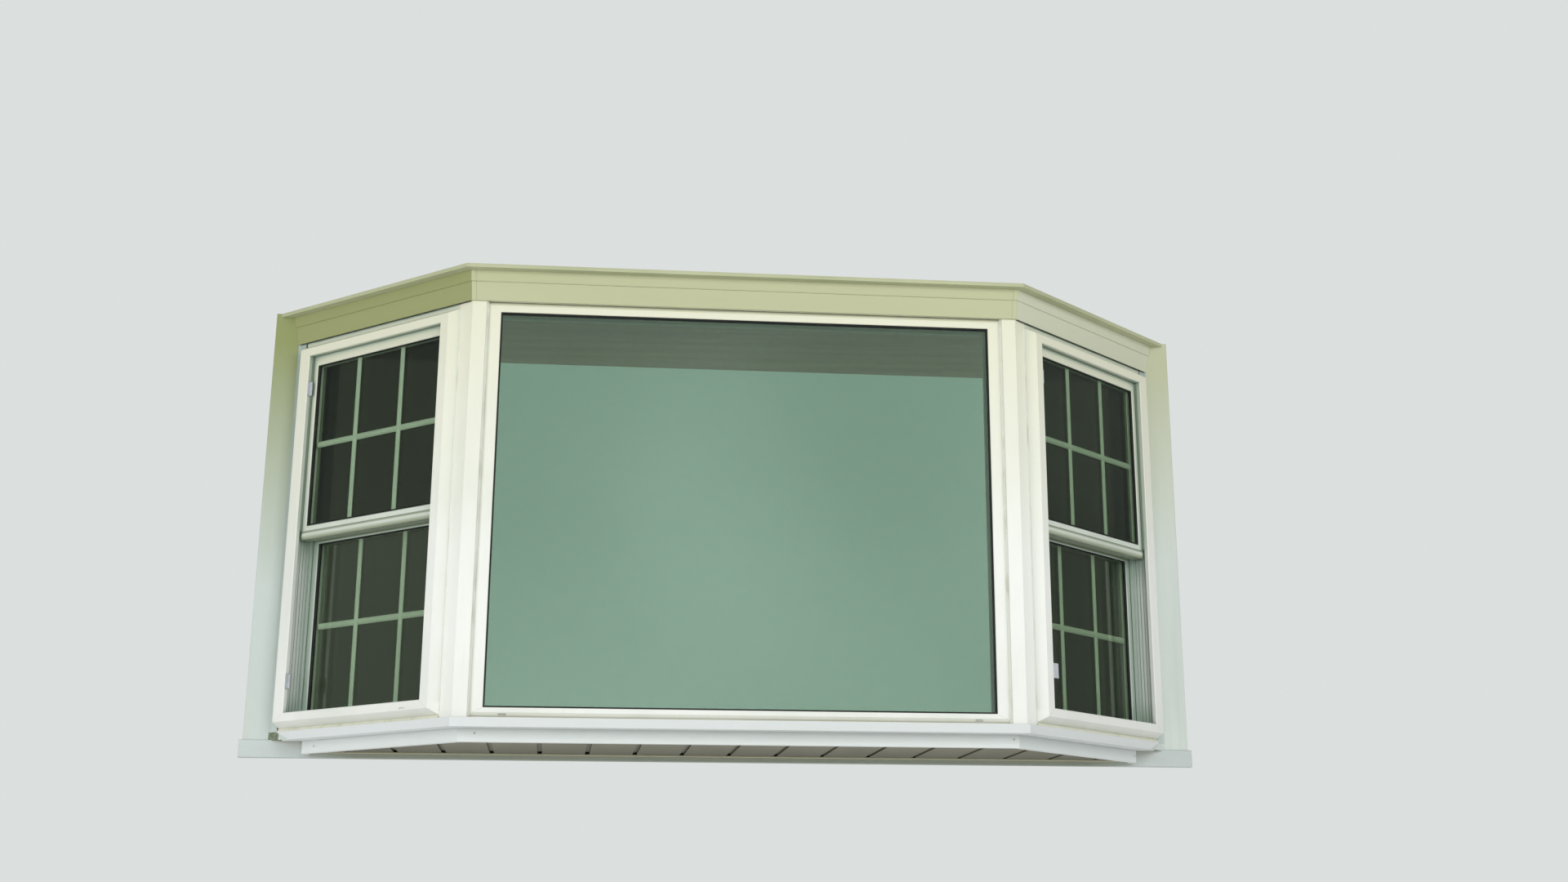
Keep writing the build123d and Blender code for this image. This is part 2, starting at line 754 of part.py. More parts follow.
# Soffit channel along the top of the frieze, open upwards
with BuildPart() as soffit_channel:
    with BuildSketch(Plane.XY.offset(channel_low)):
        with BuildLine():
            Polyline(*wrap(frieze_top, channel_reach, casing_thick), close=True)
        make_face()
    extrude(amount=channel_skin)
    with BuildSketch(Plane.XY.offset(channel_low)):
        with BuildLine():
            Polyline(*wrap(frieze_top, frieze_top + channel_skin, casing_thick), close=True)
        make_face()
        with BuildLine():
            Polyline(*wrap(channel_reach - channel_skin, channel_reach, casing_thick), close=True)
        make_face()
    extrude(amount=channel_height)
soffit_channel.part.label = "soffit_channel"
export_step(soffit_channel.part, "parts/soffit_channel.step")

# Blocking on the head board, one length behind each frieze
with BuildPart() as head_blocking:
    with BuildSketch(Plane.XY.offset(head_top)):
        with BuildLine():
            Polyline(
                (ridge_x - half_turn * blocking_thick - joint_gap, -front_reach + blocking_thick),
                (ridge_x - joint_gap, -front_reach),
                (-ridge_x + joint_gap, -front_reach),
                (-ridge_x + half_turn * blocking_thick + joint_gap, -front_reach + blocking_thick),
                close=True,
            )
        make_face()
        with BuildLine():
            Polyline(*side_run(-blocking_thick, 0, casing_thick), close=True)
        make_face()
        with BuildLine():
            Polyline(*flip(side_run(-blocking_thick, 0, casing_thick)), close=True)
        make_face()
    extrude(amount=blocking_height)
head_blocking.part.label = "head_blocking"
export_step(head_blocking.part, "parts/head_blocking.step")

# Sill cap: a nosing with a flange under the seat board; the side lengths end in a slope
cap_tip = meets_wall(cap_proud, cap_end)
with BuildPart() as sill_cap_centre:
    with BuildSketch(Plane.XY.offset(cap_low)):
        with BuildLine():
            Polyline(*front_run(0, cap_proud), close=True)
        make_face()
    extrude(amount=cap_height)
    with BuildSketch(Plane.XY.offset(cap_low)):
        with BuildLine():
            Polyline(*front_run(-fascia_back - fascia_thick, 0), close=True)
        make_face()
    extrude(amount=seat_low - cap_low)
sill_cap_centre.part.label = "sill_cap_centre"
export_step(sill_cap_centre.part, "parts/sill_cap_centre.step")

with BuildPart() as sill_cap_right:
    with BuildSketch(Plane.XY.offset(cap_low)):
        with BuildLine():
            Polyline(*side_run(0, cap_proud, cap_end), close=True)
        make_face()
    extrude(amount=cap_height)
    with BuildSketch(Plane.XY.offset(cap_low)):
        with BuildLine():
            Polyline(*side_run(-fascia_back - fascia_thick, 0, cap_end), close=True)
        make_face()
    extrude(amount=seat_low - cap_low)
    with BuildSketch(Plane(origin=(*cap_tip, cap_low), x_dir=(cu, su, 0), z_dir=(su, -cu, 0))):
        with BuildLine():
            Polyline((0, cap_height), (-cap_cut, 0), (0, 0), close=True)
        make_face()
    extrude(amount=-cap_proud, mode=Mode.SUBTRACT)
sill_cap_right.part.label = "sill_cap_right"
export_step(sill_cap_right.part, "parts/sill_cap_right.step")

with BuildPart() as sill_cap_left:
    mirror(sill_cap_right.part, about=Plane.YZ)
sill_cap_left.part.label = "sill_cap_left"
export_step(sill_cap_left.part, "parts/sill_cap_left.step")

# Seat fascia under the cap, set back; the side lengths return to the ledger
fascia_in = fascia_back + fascia_thick
fascia_turn = meets_wall(-fascia_back, fascia_end)
inner_turn_d = (fascia_turn[0] - fascia_thick - ridge_x + su * fascia_in) / cu
with BuildPart() as seat_fascia_centre:
    with BuildSketch(Plane.XY.offset(fascia_low)):
        with BuildLine():
            Polyline(*front_run(-fascia_in, -fascia_back), close=True)
        make_face()
    extrude(amount=fascia_height)
seat_fascia_centre.part.label = "seat_fascia_centre"
export_step(seat_fascia_centre.part, "parts/seat_fascia_centre.step")

with BuildPart() as seat_fascia_right:
    with BuildSketch(Plane.XY.offset(fascia_low)):
        with BuildLine():
            Polyline(
                corner(-fascia_back),
                fascia_turn,
                (fascia_turn[0], -ledger_thick),
                (fascia_turn[0] - fascia_thick, -ledger_thick),
                side_point(inner_turn_d, -fascia_in),
                corner(-fascia_in),
                close=True,
            )
        make_face()
    extrude(amount=fascia_height)
    with BuildSketch(Plane.XY.offset(cap_low)):
        with Locations((fascia_turn[0], -cap_end)):
            Rectangle(fascia_thick, cap_end - ledger_thick, align=(Align.MAX, Align.MIN))
    extrude(amount=seat_low - cap_low)
seat_fascia_right.part.label = "seat_fascia_right"
export_step(seat_fascia_right.part, "parts/seat_fascia_right.step")

with BuildPart() as seat_fascia_left:
    mirror(seat_fascia_right.part, about=Plane.YZ)
seat_fascia_left.part.label = "seat_fascia_left"
export_step(seat_fascia_left.part, "parts/seat_fascia_left.step")

# Underside panel with ribs front to back, inside the fascia
inside = [corner(-fascia_in), side_point(inner_turn_d, -fascia_in)]
inside += [(fascia_turn[0] - fascia_thick, -ledger_thick)]
rib_count = int(2 * fascia_turn[0] / panel_rib)
with BuildPart() as underside_panel:
    with BuildSketch(Plane.XY.offset(panel_low)):
        with BuildLine():
            Polyline(*inside, *flip(inside), close=True)
        make_face()
    extrude(amount=panel_thick)
    with BuildSketch(Plane.XY.offset(panel_low)):
        with GridLocations(panel_rib, 1, rib_count, 1):
            with Locations((0, -front_reach / 2)):
                Rectangle(rib_width, front_reach)
    extrude(amount=rib_depth, mode=Mode.SUBTRACT)
underside_panel.part.label = "underside_panel"
export_step(underside_panel.part, "parts/underside_panel.step")

# Trim channel that carries the edge of the panel
trim_in = fascia_in + trim_width
trim_inside = [corner(-trim_in), meets_wall(-trim_in, ledger_thick + trim_width)]
with BuildPart() as underside_trim:
    with BuildSketch(Plane.XY.offset(panel_low - trim_thick)):
        with BuildLine():
            Polyline(*inside, *flip(inside), close=True)
        make_face()
        with BuildLine():
            Polyline(*trim_inside, *flip(trim_inside), close=True)
        make_face(mode=Mode.SUBTRACT)
    extrude(amount=trim_thick)
underside_trim.part.label = "underside_trim"
export_step(underside_trim.part, "parts/underside_trim.step")

# Casing boards on the wall
with BuildPart() as right_casing:
    with BuildSketch(Plane.XY.offset(seat_low)):
        with Locations((opening_half + casing_width / 2, -casing_thick / 2)):
            Rectangle(casing_width, casing_thick)
    extrude(amount=top - seat_low)
    outer_edge = right_casing.edges().filter_by(Axis.Z).group_by(Axis.Y)[0].sort_by(Axis.X)[-1]
    chamfer(outer_edge, casing_chamfer)
right_casing.part.label = "right_casing"
export_step(right_casing.part, "parts/right_casing.step")

with BuildPart() as left_casing:
    mirror(right_casing.part, about=Plane.YZ)
left_casing.part.label = "left_casing"
export_step(left_casing.part, "parts/left_casing.step")
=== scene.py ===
import math

import bmesh
import bpy
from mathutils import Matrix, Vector, noise


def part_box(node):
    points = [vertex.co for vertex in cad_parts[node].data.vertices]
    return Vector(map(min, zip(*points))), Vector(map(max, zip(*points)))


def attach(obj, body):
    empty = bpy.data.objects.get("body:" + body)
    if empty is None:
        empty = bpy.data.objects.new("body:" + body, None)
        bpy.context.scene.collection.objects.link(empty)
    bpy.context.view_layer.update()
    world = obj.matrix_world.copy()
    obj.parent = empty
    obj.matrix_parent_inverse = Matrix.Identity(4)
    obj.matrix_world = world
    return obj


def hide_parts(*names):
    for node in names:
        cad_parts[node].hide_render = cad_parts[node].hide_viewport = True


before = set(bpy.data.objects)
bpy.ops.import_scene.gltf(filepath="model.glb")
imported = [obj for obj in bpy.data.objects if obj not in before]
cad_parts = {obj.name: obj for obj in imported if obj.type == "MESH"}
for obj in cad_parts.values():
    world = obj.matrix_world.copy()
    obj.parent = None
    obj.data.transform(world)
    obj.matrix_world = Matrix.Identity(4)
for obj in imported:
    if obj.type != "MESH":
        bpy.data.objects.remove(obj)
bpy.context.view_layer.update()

# Ledger board
# A long board on the wall that the whole bay hangs from, wrapped in white coil-coated aluminium.
# The wrap is bent on site, so its face is a little wavy and carries a fine pressed wood grain.
# Under the bay it is painted duller, as the shade the bay casts on it.


def seen(red, green, blue):
    """A colour as it looks, 0 to 255, turned into shader values."""
    return tuple(((c / 255 + 0.055) / 1.055) ** 2.4 for c in (red, green, blue))


class Finish:
    """One surface finish: a shader with its own colour and roughness, and detail laid over it."""

    def __init__(self, name, colour, roughness, **sockets):
        self.material = bpy.data.materials.new(name)
        self.material.use_nodes = True
        self.tree = self.material.node_tree
        self.shader = self.tree.nodes["Principled BSDF"]
        self.shader.inputs["Base Color"].default_value = (*colour, 1)
        self.shader.inputs["Roughness"].default_value = roughness
        for socket, value in sockets.items():
            self.shader.inputs[socket.replace("_", " ")].default_value = value
        self.place = self.tree.nodes.new("ShaderNodeTexCoord").outputs["Object"]

    def patches(self, size, stretch=(1, 1, 1), detail=3.0):
        """Soft random patches of that width in metres, drawn out along x, y and z."""
        scaled = self.tree.nodes.new("ShaderNodeVectorMath")
        scaled.operation = "MULTIPLY"
        scaled.inputs[1].default_value = [1 / (size * s) for s in stretch]
        self.tree.links.new(self.place, scaled.inputs[0])
        pattern = self.tree.nodes.new("ShaderNodeTexNoise")
        pattern.inputs["Scale"].default_value = 1
        pattern.inputs["Detail"].default_value = detail
        self.tree.links.new(scaled.outputs[0], pattern.inputs["Vector"])
        return pattern.outputs["Fac"]

    def ahead_of(self, plane):
        """How far the surface stands ahead of a plane, alike on the left and the right."""
        near = self.tree.nodes.new("ShaderNodeVectorMath")
        near.operation = "ABSOLUTE"
        self.tree.links.new(self.place, near.inputs[0])
        along = self.tree.nodes.new("ShaderNodeVectorMath")
        along.operation = "DOT_PRODUCT"
        along.inputs[1].default_value = plane[:3]
        self.tree.links.new(near.outputs[0], along.inputs[0])
        offset = self.tree.nodes.new("ShaderNodeMath")
        offset.inputs[1].default_value = plane[3]
        self.tree.links.new(along.outputs["Value"], offset.inputs[0])
        return offset.outputs[0]

    def height(self, low, high, to_high):
        """Rises from 0 to a value between two heights over the ledger."""
        return self.span(self.ahead_of((0, 0, 1, 0)), low, high, 0, to_high)

    def corners(self, reach):
        """Where other surfaces stand close, such as in a joint: 0 in the open, 1 deep in."""
        near = self.tree.nodes.new("ShaderNodeAmbientOcclusion")
        near.samples = 8
        near.inputs["Distance"].default_value = reach
        turned = self.tree.nodes.new("ShaderNodeMath")
        turned.operation = "SUBTRACT"
        turned.inputs[0].default_value = 1
        self.tree.links.new(near.outputs["AO"], turned.inputs[1])
        return turned.outputs[0]

    def span(self, value, low, high, to_low=0.0, to_high=1.0):
        """A value stretched from one range to another."""
        node = self.tree.nodes.new("ShaderNodeMapRange")
        for socket, number in (("From Min", low), ("From Max", high)):
            node.inputs[socket].default_value = number
        for socket, number in (("To Min", to_low), ("To Max", to_high)):
            node.inputs[socket].default_value = number
        self.tree.links.new(value, node.inputs["Value"])
        return node.outputs["Result"]

    def both(self, first, second):
        """High only where two values are both high."""
        node = self.tree.nodes.new("ShaderNodeMath")
        node.operation = "MULTIPLY"
        self.tree.links.new(first, node.inputs[0])
        self.tree.links.new(second, node.inputs[1])
        return node.outputs[0]

    def stain(self, where, colour):
        """Lays a second colour over the surface where the value is high."""
        base = self.shader.inputs["Base Color"]
        mix = self.tree.nodes.new("ShaderNodeMix")
        mix.data_type = "RGBA"
        if base.is_linked:
            self.tree.links.new(base.links[0].from_socket, mix.inputs["A"])
        else:
            mix.inputs["A"].default_value = base.default_value
        mix.inputs["B"].default_value = (*colour, 1)
        self.tree.links.new(where, mix.inputs["Factor"])
        self.tree.links.new(mix.outputs["Result"], base)

    def rough(self, where, low, high):
        """Roughness that follows a value."""
        self.tree.links.new(self.span(where, 0, 1, low, high), self.shader.inputs["Roughness"])

    def round_edges(self, radius):
        """Catches light along the edges, as a small radius does."""
        soft = self.tree.nodes.new("ShaderNodeBevel")
        soft.samples = 6
        soft.inputs["Radius"].default_value = radius
        self.tree.links.new(soft.outputs["Normal"], self.shader.inputs["Normal"])

    def relief(self, height, depth, strength=1.0):
        """Fine unevenness of that depth in metres."""
        bump = self.tree.nodes.new("ShaderNodeBump")
        bump.inputs["Distance"].default_value = depth
        bump.inputs["Strength"].default_value = strength
        normal = self.shader.inputs["Normal"]
        if normal.is_linked:
            self.tree.links.new(normal.links[0].from_socket, bump.inputs["Normal"])
        self.tree.links.new(height, bump.inputs["Height"])
        self.tree.links.new(bump.outputs["Normal"], normal)

    def on(self, *names):
        """Puts this finish on carried-over pieces."""
        for name in names:
            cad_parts[name].data.materials.clear()
            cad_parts[name].data.materials.append(self.material)


def trim_finish(name, colour, shade, along):
    """Coil-coated trim: pressed grain along the length, slow waves, faint painted shade and dirt in
    the joints.
    """
    made = Finish(name, colour, 0.42)
    made.stain(made.span(made.patches(0.32, along), 0.4, 0.7, 0, 0.6), shade)
    made.stain(made.span(made.patches(0.012, along, 5), 0.55, 0.8, 0, 0.25), shade)
    # Painted shade and dirt where other surfaces stand close.
    made.stain(made.span(made.corners(0.02), 0.35, 0.95, 0, 0.7), seen(118, 116, 96))
    made.rough(made.patches(0.05, along), 0.34, 0.52)
    made.round_edges(0.0015)
    made.relief(made.patches(0.35, (1, 1, 1), 1), 0.004, 0.35)
    made.relief(made.patches(0.0022, along, 4), 0.0002, 0.35)
    return made


level_grain = (9, 9, 1)
upright_grain = (1, 1, 12)
ledger_wrap = trim_finish("ledger_wrap", seen(202, 210, 208), seen(186, 194, 190), level_grain)
# Painted shade: duller and darker under the bay.
under_bay_shade = ledger_wrap.span(ledger_wrap.ahead_of((1, 0, 0, 0)), 1.0, 1.15, 0.75, 0)
ledger_wrap.stain(under_bay_shade, seen(150, 156, 138))
ledger_wrap.on("ledger_board")

# Seat board and head board
# Veneered boards that make the floor and the ceiling of the bay, running back through the wall.
# Clear-finished hardwood face.
wood_light = seen(216, 190, 150)
wood_dark = seen(180, 146, 106)


def wood_finish(name, light, dark, along, gloss):
    """Clear-finished wood with its grain along the longest stretch."""
    made = Finish(name, light, gloss)
    figure = made.patches(0.035, along, 6)
    rings = made.tree.nodes.new("ShaderNodeTexWave")
    rings.wave_type = "BANDS"
    rings.bands_direction = "DIAGONAL"
    rings.inputs["Scale"].default_value = 7
    rings.inputs["Distortion"].default_value = 6
    rings.inputs["Detail"].default_value = 3
    rings.inputs["Detail Scale"].default_value = 1.4
    stretched = made.tree.nodes.new("ShaderNodeVectorMath")
    stretched.operation = "MULTIPLY"
    stretched.inputs[1].default_value = [1 / s for s in along]
    made.tree.links.new(made.place, stretched.inputs[0])
    made.tree.links.new(stretched.outputs[0], rings.inputs["Vector"])
    made.stain(made.span(rings.outputs["Fac"], 0.45, 1, 0, 0.45), dark)
    made.stain(made.span(figure, 0.45, 0.75, 0, 0.6), dark)
    made.stain(made.span(made.patches(0.0016, along, 2), 0.6, 0.75, 0, 0.5), dark)
    made.rough(figure, gloss - 0.08, gloss + 0.12)
    made.round_edges(0.001)
    made.relief(made.patches(0.0012, along, 3), 0.00015, 0.5)
    return made


board_wood = wood_finish("board_wood", wood_light, wood_dark, (14, 1, 1), 0.42)
board_wood.on("seat_board", "head_board")

# Jamb boards, posts and blocking
# Planed softwood: jamb boards through the wall, posts between the windows and blocking on top.
# The posts are glued up, and carry the covers outside and the windows on both sides.
upright_wood = wood_finish(
    "upright_wood", seen(216, 190, 146), seen(182, 146, 102), (1, 1, 16), 0.5)
upright_wood.on("left_jamb_board", "right_jamb_board", "left_corner_post", "right_corner_post")
upright_wood.on("left_wall_post", "right_wall_post")
rough_wood = wood_finish("rough_wood", seen(206, 178, 132), seen(168, 128, 84), (12, 12, 1), 0.66)
rough_wood.on("head_blocking")

# Corner covers
# Thin bent covers over the front posts, white like the frames, held by sealant at both edges.
# They meet the frame of the front window and of the side window in a narrow joint.
vinyl_white = seen(243, 244, 238)
vinyl_shade = seen(228, 231, 222)
# Painted shade and dirt for the joints, laid where other surfaces stand close.
joint_shade_and_dirt = seen(122, 126, 104)


def vinyl_finish(name, colour, shade, reach=0.0, deep_shade=None, shade_and_dirt=0.75):
    """Moulded white vinyl: very fine texture, faint weathering, painted cream towards the top as
    the shade under the eave, and painted shade and dirt in the joints. With a reach, the surfaces
    deep in a reveal are painted darker as shade too."""
    made = Finish(name, colour, 0.34, Specular_IOR_Level=0.45)
    made.stain(made.span(made.patches(0.22, (1, 1, 2)), 0.4, 0.7, 0, 0.7), shade)
    made.stain(made.span(made.patches(0.01, (1, 1, 14), 4), 0.56, 0.8, 0, 0.35), shade)
    # Painted shade: cream towards the top, as under the eave.
    made.stain(made.height(0.45, 1.15, 0.9), seen(229, 228, 202))
    # Painted shade deep in a reveal.
    if reach:
        inside = made.height(seat_top + 0.034, seat_top + 0.044, 1)
        made.stain(made.both(made.span(made.corners(reach), 0.22, 0.5, 0, 0.92), inside), deep_shade)
    # Painted shade and dirt in the joints.
    made.stain(made.span(made.corners(0.012), 0.4, 0.95, 0, shade_and_dirt), joint_shade_and_dirt)
    made.rough(made.patches(0.04), 0.28, 0.42)
    made.round_edges(0.0012)
    made.relief(made.patches(0.0009, (1, 1, 1), 2), 0.00008, 0.35)
    made.relief(made.patches(0.3, (1, 1, 1), 1), 0.002, 0.2)
    return made


white_vinyl = vinyl_finish("white_vinyl", vinyl_white, vinyl_shade)
white_vinyl.on("left_corner_cover", "right_corner_cover")

slant = math.radians(45)
front_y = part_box("right_corner_cover")[0].y
seat_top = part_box("right_corner_cover")[0].z
head_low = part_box("right_corner_cover")[1].z
picture_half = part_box("picture_frame")[1].x
ridge_x = picture_half + 0.037
side_start = 0.046
side_width = 0.626
casing_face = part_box("right_casing")[0].y
window_rise = head_low - seat_top


def side_place(turn, along, up, out):
    """A point by its run from the front corner, its height over the seat board and its
    distance ahead of the cover plane; turn is 1 on the right and -1 on the left."""
    x = ridge_x + math.cos(slant) * along + math.sin(slant) * out
    y = front_y + math.sin(slant) * along - math.cos(slant) * out
    return Vector((turn * x, y, seat_top + up))


def front_place(x, up, out):
    """The same on the front, by the distance from the middle."""
    return Vector((x, front_y - out, seat_top + up))


def side_run(turn):
    """The level direction along a side window, from the front corner towards the wall."""
    return Vector((turn * math.cos(slant), math.sin(slant), 0))


def side_out(turn):
    """The direction that a side window faces."""
    return Vector((turn * math.sin(slant), -math.cos(slant), 0))


def add_piece(name, points, faces, finish, slot):
    """A closed mesh that rides with the bay."""
    mesh = bpy.data.meshes.new(name)
    mesh.from_pydata(points, [], faces)
    tidy = bmesh.new()
    tidy.from_mesh(mesh)
    bmesh.ops.remove_doubles(tidy, verts=tidy.verts, dist=1e-6)
    bmesh.ops.recalc_face_normals(tidy, faces=tidy.faces)
    tidy.to_mesh(mesh)
    tidy.free()
    made = bpy.data.objects.new(name, mesh)
    bpy.context.scene.collection.objects.link(made)
    mesh.materials.append(finish.material)
    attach(made, "root")
    return made


def smooth(piece, angle=40):
    """Rounds the shading over gentle turns and keeps true edges crisp."""
    piece.data.shade_smooth()
    piece.data.set_sharp_from_angle(angle=math.radians(angle))
    return piece


def loft(rings, closed_ends=True):
    """Points and faces of a tube through rings of points."""
    count = len(rings[0])
    points = [p for one in rings for p in one]
    faces = []
    for k in range(len(rings) - 1):
        for i in range(count):
            a, b = k * count + i, k * count + (i + 1) % count
            faces.append((a, b, b + count, a + count))
    if closed_ends:
        faces.append(tuple(range(count))[::-1])
        faces.append(tuple(range(len(points) - count, len(points))))
    return points, faces


def joined(parts):
    """Several point and face lists as one."""
    points, faces = [], []
    for some_points, some_faces in parts:
        base = len(points)
        points += some_points
        faces += [tuple(base + i for i in face) for face in some_faces]
    return points, faces


def bead(start, end, side, out, width, height, waver, step=0.014):
    """A run of sealant: a low rounded bead whose width wanders a little."""
    length = (end - start).length
    count = max(2, int(length / step))
    rings = []
    for k in range(count + 1):
        centre = start.lerp(end, k / count)
        swell = 1 + waver * noise.noise(centre * 40)
        ring = []
        for i in range(7):
            turn = math.pi * i / 6
            across = math.cos(turn) * width / 2 * swell
            ring.append(centre + side * across + out * math.sin(turn) * height * swell)
        rings.append(ring)
    return loft(rings)


frame_foot_back = 0.0145      # how far behind the covers the front frame's bevel ends
for turn, hand in ((-1, "left"), (1, "right")):
    edge = turn * picture_half
    skin = turn * 0.0004
    rings = []
    for up in (0.0005, window_rise - 0.0005):
        rings.append([
            Vector((edge - skin, front_y, seat_top + up)),
            Vector((edge - skin, front_y + frame_foot_back, seat_top + up)),
            Vector((edge, front_y + frame_foot_back, seat_top + up)),
            Vector((edge, front_y, seat_top + up)),
        ])
    add_piece(f"{hand}_corner_return", *loft(rings), white_vinyl, "vinyl_white")


def sealant_finish(name, colour, shade, gloss, along, most, dips):
    """Rubbery sealant, tooled by hand, with dust where it has stayed tacky."""
    made = Finish(name, colour, gloss)
    made.stain(made.span(made.patches(0.03, along), 0.5, 0.75, 0, most), shade)
    made.relief(made.patches(0.006), dips, 0.5)
    return made


white_sealant = sealant_finish(
    "white_sealant", seen(226, 228, 218), seen(190, 190, 172), 0.3, (1, 1, 3), 0.8, 0.0006)
# A dark finish for beads that are painted shadow deep in joints.
joint_dark = Finish("joint_dark", seen(70, 74, 66), 0.8)
joint_dark.stain(joint_dark.span(joint_dark.patches(0.02, (1, 1, 4)), 0.45, 0.7), seen(98, 104, 96))
joint_dark.relief(joint_dark.patches(0.004), 0.0008, 0.8)
joint_sink, joint_waver, joint_back = 0.0025, 0.0006, 0.0140
joint_steps = 80
for turn, hand in ((-1, "left"), (1, "right")):
    low = side_place(turn, side_start - 0.001, 0.004, -0.0008)
    high = side_place(turn, side_start - 0.001, window_rise - 0.018, -0.0008)
    side_joint = bead(low, high, side_run(turn), side_out(turn), 0.006, 0.0022, 0.35)
    rings = []
    for k in range(joint_steps + 1):
        up = seat_top + 0.0006 + (window_rise - 0.0012) * k / joint_steps
        sink = joint_sink + joint_waver * noise.noise(Vector((turn * 3.1, 0, up * 30)))
        edge = turn * (picture_half - 0.0005)
        rings.append([
            Vector((edge, front_y + sink, up)),
            Vector((turn * (picture_half - 0.0035), front_y + sink + 0.003, up)),
            Vector((turn * (picture_half - 0.0065), front_y + 0.0101, up)),
            Vector((edge, front_y + joint_back, up)),
        ])
    shape = joined([side_joint, loft(rings)])
    smooth(add_piece(f"{hand}_corner_sealant", *shape, white_sealant, "vinyl_white"))

# Wall side covers
# Thin bent covers of blue-grey coil over the posts next to the wall, between window and casing,
# painted greyer towards the top as shade. Old sealant lies deep in the joint beside the window
# frame, which is wider on the left, and along the casing; it is painted dark as the joint's shadow.
cover_grey = trim_finish("cover_grey", seen(206, 215, 211), seen(190, 201, 196), upright_grain)
# Painted shade: greyer towards the top.
cover_grey.stain(cover_grey.height(0.1, 0.9, 0.8), seen(164, 177, 168))
cover_skin = 0.001
side_end = side_start + side_width
wall_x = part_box("seat_board")[1].x
post_face_end = (-front_y + casing_face) / math.sin(slant)
for turn, hand, joint_width in ((-1, "left", 0.0064), (1, "right", 0.0026)):
    rings = []
    for up in (0.0, window_rise - 0.003):
        a = side_place(turn, side_end + joint_width - 0.0004, up, 0)
        b = side_place(turn, post_face_end - 0.001, up, 0)
        c = Vector((turn * (wall_x + 0.0005), casing_face - 0.0002, seat_top + up))
        lift = side_out(turn) * cover_skin
        rings.append([a, b, c, c + Vector((0, -cover_skin, 0)), b + lift, a + lift])
    add_piece(f"{hand}_wall_cover", *loft(rings), cover_grey, "trim_white")
    # Painted shadow: the dark beads beside the frame and along the casing stand in for the joints'
    # shade.
    low = side_place(turn, side_end + joint_width / 2, 0.0005, -0.0004)
    high = side_place(turn, side_end + joint_width / 2, window_rise - 0.0035, -0.0004)
    frame_joint = bead(low, high, side_run(turn), side_out(turn), joint_width, 0.002, 0.12)
    low = Vector((turn * (wall_x - 0.001), casing_face + 0.0002, seat_top + 0.002))
    high = Vector((turn * (wall_x - 0.001), casing_face + 0.0002, head_low - 0.006))
    casing_joint = bead(low, high, Vector((1, 0, 0)), Vector((0, -1, 0)), 0.003, 0.0012, 0.3)
    shape = joined([frame_joint, casing_joint])
    smooth(add_piece(f"{hand}_wall_sealant", *shape, joint_dark, "black_seal"))

# Seat board ends
# The cut ends of the seat board show between the sill cap and the casings, covered with scraps
# of the trim coil. On the left the last bit has come off, and the bare end has weathered.
weathered_end = Finish("weathered_end", seen(134, 144, 122), 0.85)
weathered_end.stain(weathered_end.span(weathered_end.patches(0.006), 0.42, 0.6), seen(104, 114, 94))
pale_fibres = weathered_end.span(weathered_end.patches(0.0025), 0.55, 0.7)
weathered_end.stain(pale_fibres, seen(158, 164, 140))
weathered_end.relief(weathered_end.patches(0.003), 0.001, 0.9)
end_cover = trim_finish("end_cover", seen(214, 222, 216), seen(198, 206, 200), level_grain)
seat_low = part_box("seat_board")[0].z - seat_top
end_skin = 0.0006
end_foot, end_head = seat_low - 0.002, -0.0002
cover_from, bare_from = 0.632, 0.670


def seat_end(turn, start, stop):
    """A thin skin on the slanted end of the seat board, carried round to the casing if it
    reaches that far."""
    lift = side_out(turn) * end_skin
    rings = []
    for up in (end_foot, end_head):
        line = [side_place(turn, start, up, 0), side_place(turn, stop, up, 0)]
        proud = [line[0] + lift, line[1] + lift]
        if stop >= post_face_end:
            line.append(Vector((turn * (wall_x - 0.0001), casing_face, seat_top + up)))
            proud[1] = line[1] + Vector((0, -end_skin, 0))
            proud.append(line[2] + Vector((0, -end_skin, 0)))
        rings.append([*line, *reversed(proud)])
    return loft(rings)


add_piece("left_seat_end", *seat_end(-1, cover_from, bare_from), end_cover, "trim_white")
add_piece("left_bare_end", *seat_end(-1, bare_from, post_face_end), weathered_end, "interior_board")
add_piece("right_seat_end", *seat_end(1, cover_from, post_face_end), end_cover, "trim_white")

# Picture window
# One welded vinyl ring with a bevelled outer edge; the corners show a fine weld line.
# Cream sealant fills the joints over and under it, behind the frieze and behind the sill cap.
white_vinyl.on("picture_frame")


def seam(points, out, width=0.0009, height=0.00015):
    """A fine weld line laid on a surface through points."""
    parts = []
    for start, end in zip(points[:-1], points[1:]):
        run = (end - start).normalized()
        side = run.cross(out).normalized() * width / 2
        rings = [[p - side, p + side, p + out * height] for p in (start, end)]
        parts.append(loft(rings))
    return joined(parts)


picture_recess = 0.005
picture_bevel = 0.013
picture_bevel_depth = 0.010
picture_face = 0.038
picture_low, picture_high = 0.025, window_rise - 0.030
frame_sealant = sealant_finish(
    "frame_sealant", seen(232, 232, 214), seen(214, 214, 192), 0.35, (3, 1, 1), 0.6, 0.0005)
weld_line = Finish("weld_line", seen(224, 227, 216), 0.45)
weld_line.stain(weld_line.span(weld_line.patches(0.004), 0.45, 0.65), seen(204, 208, 194))
weld_line.relief(weld_line.patches(0.002), 0.0002, 0.5)
out_front = Vector((0, -1, 0))
parts = []
for turn in (-1, 1):
    for level, step, inner in ((0, 1, picture_low), (window_rise, -1, picture_high)):
        face = -picture_recess
        edge = turn * (picture_half - 0.0005)
        foot = front_place(edge, level + step * 0.0005, face - picture_bevel_depth)
        crest = front_place(
            turn * (picture_half - picture_bevel), level + step * picture_bevel, face)
        eye = front_place(turn * (picture_half - picture_face + 0.002), inner - step * 0.002, face)
        parts += [seam([foot, crest], out_front), seam([crest, eye], out_front)]
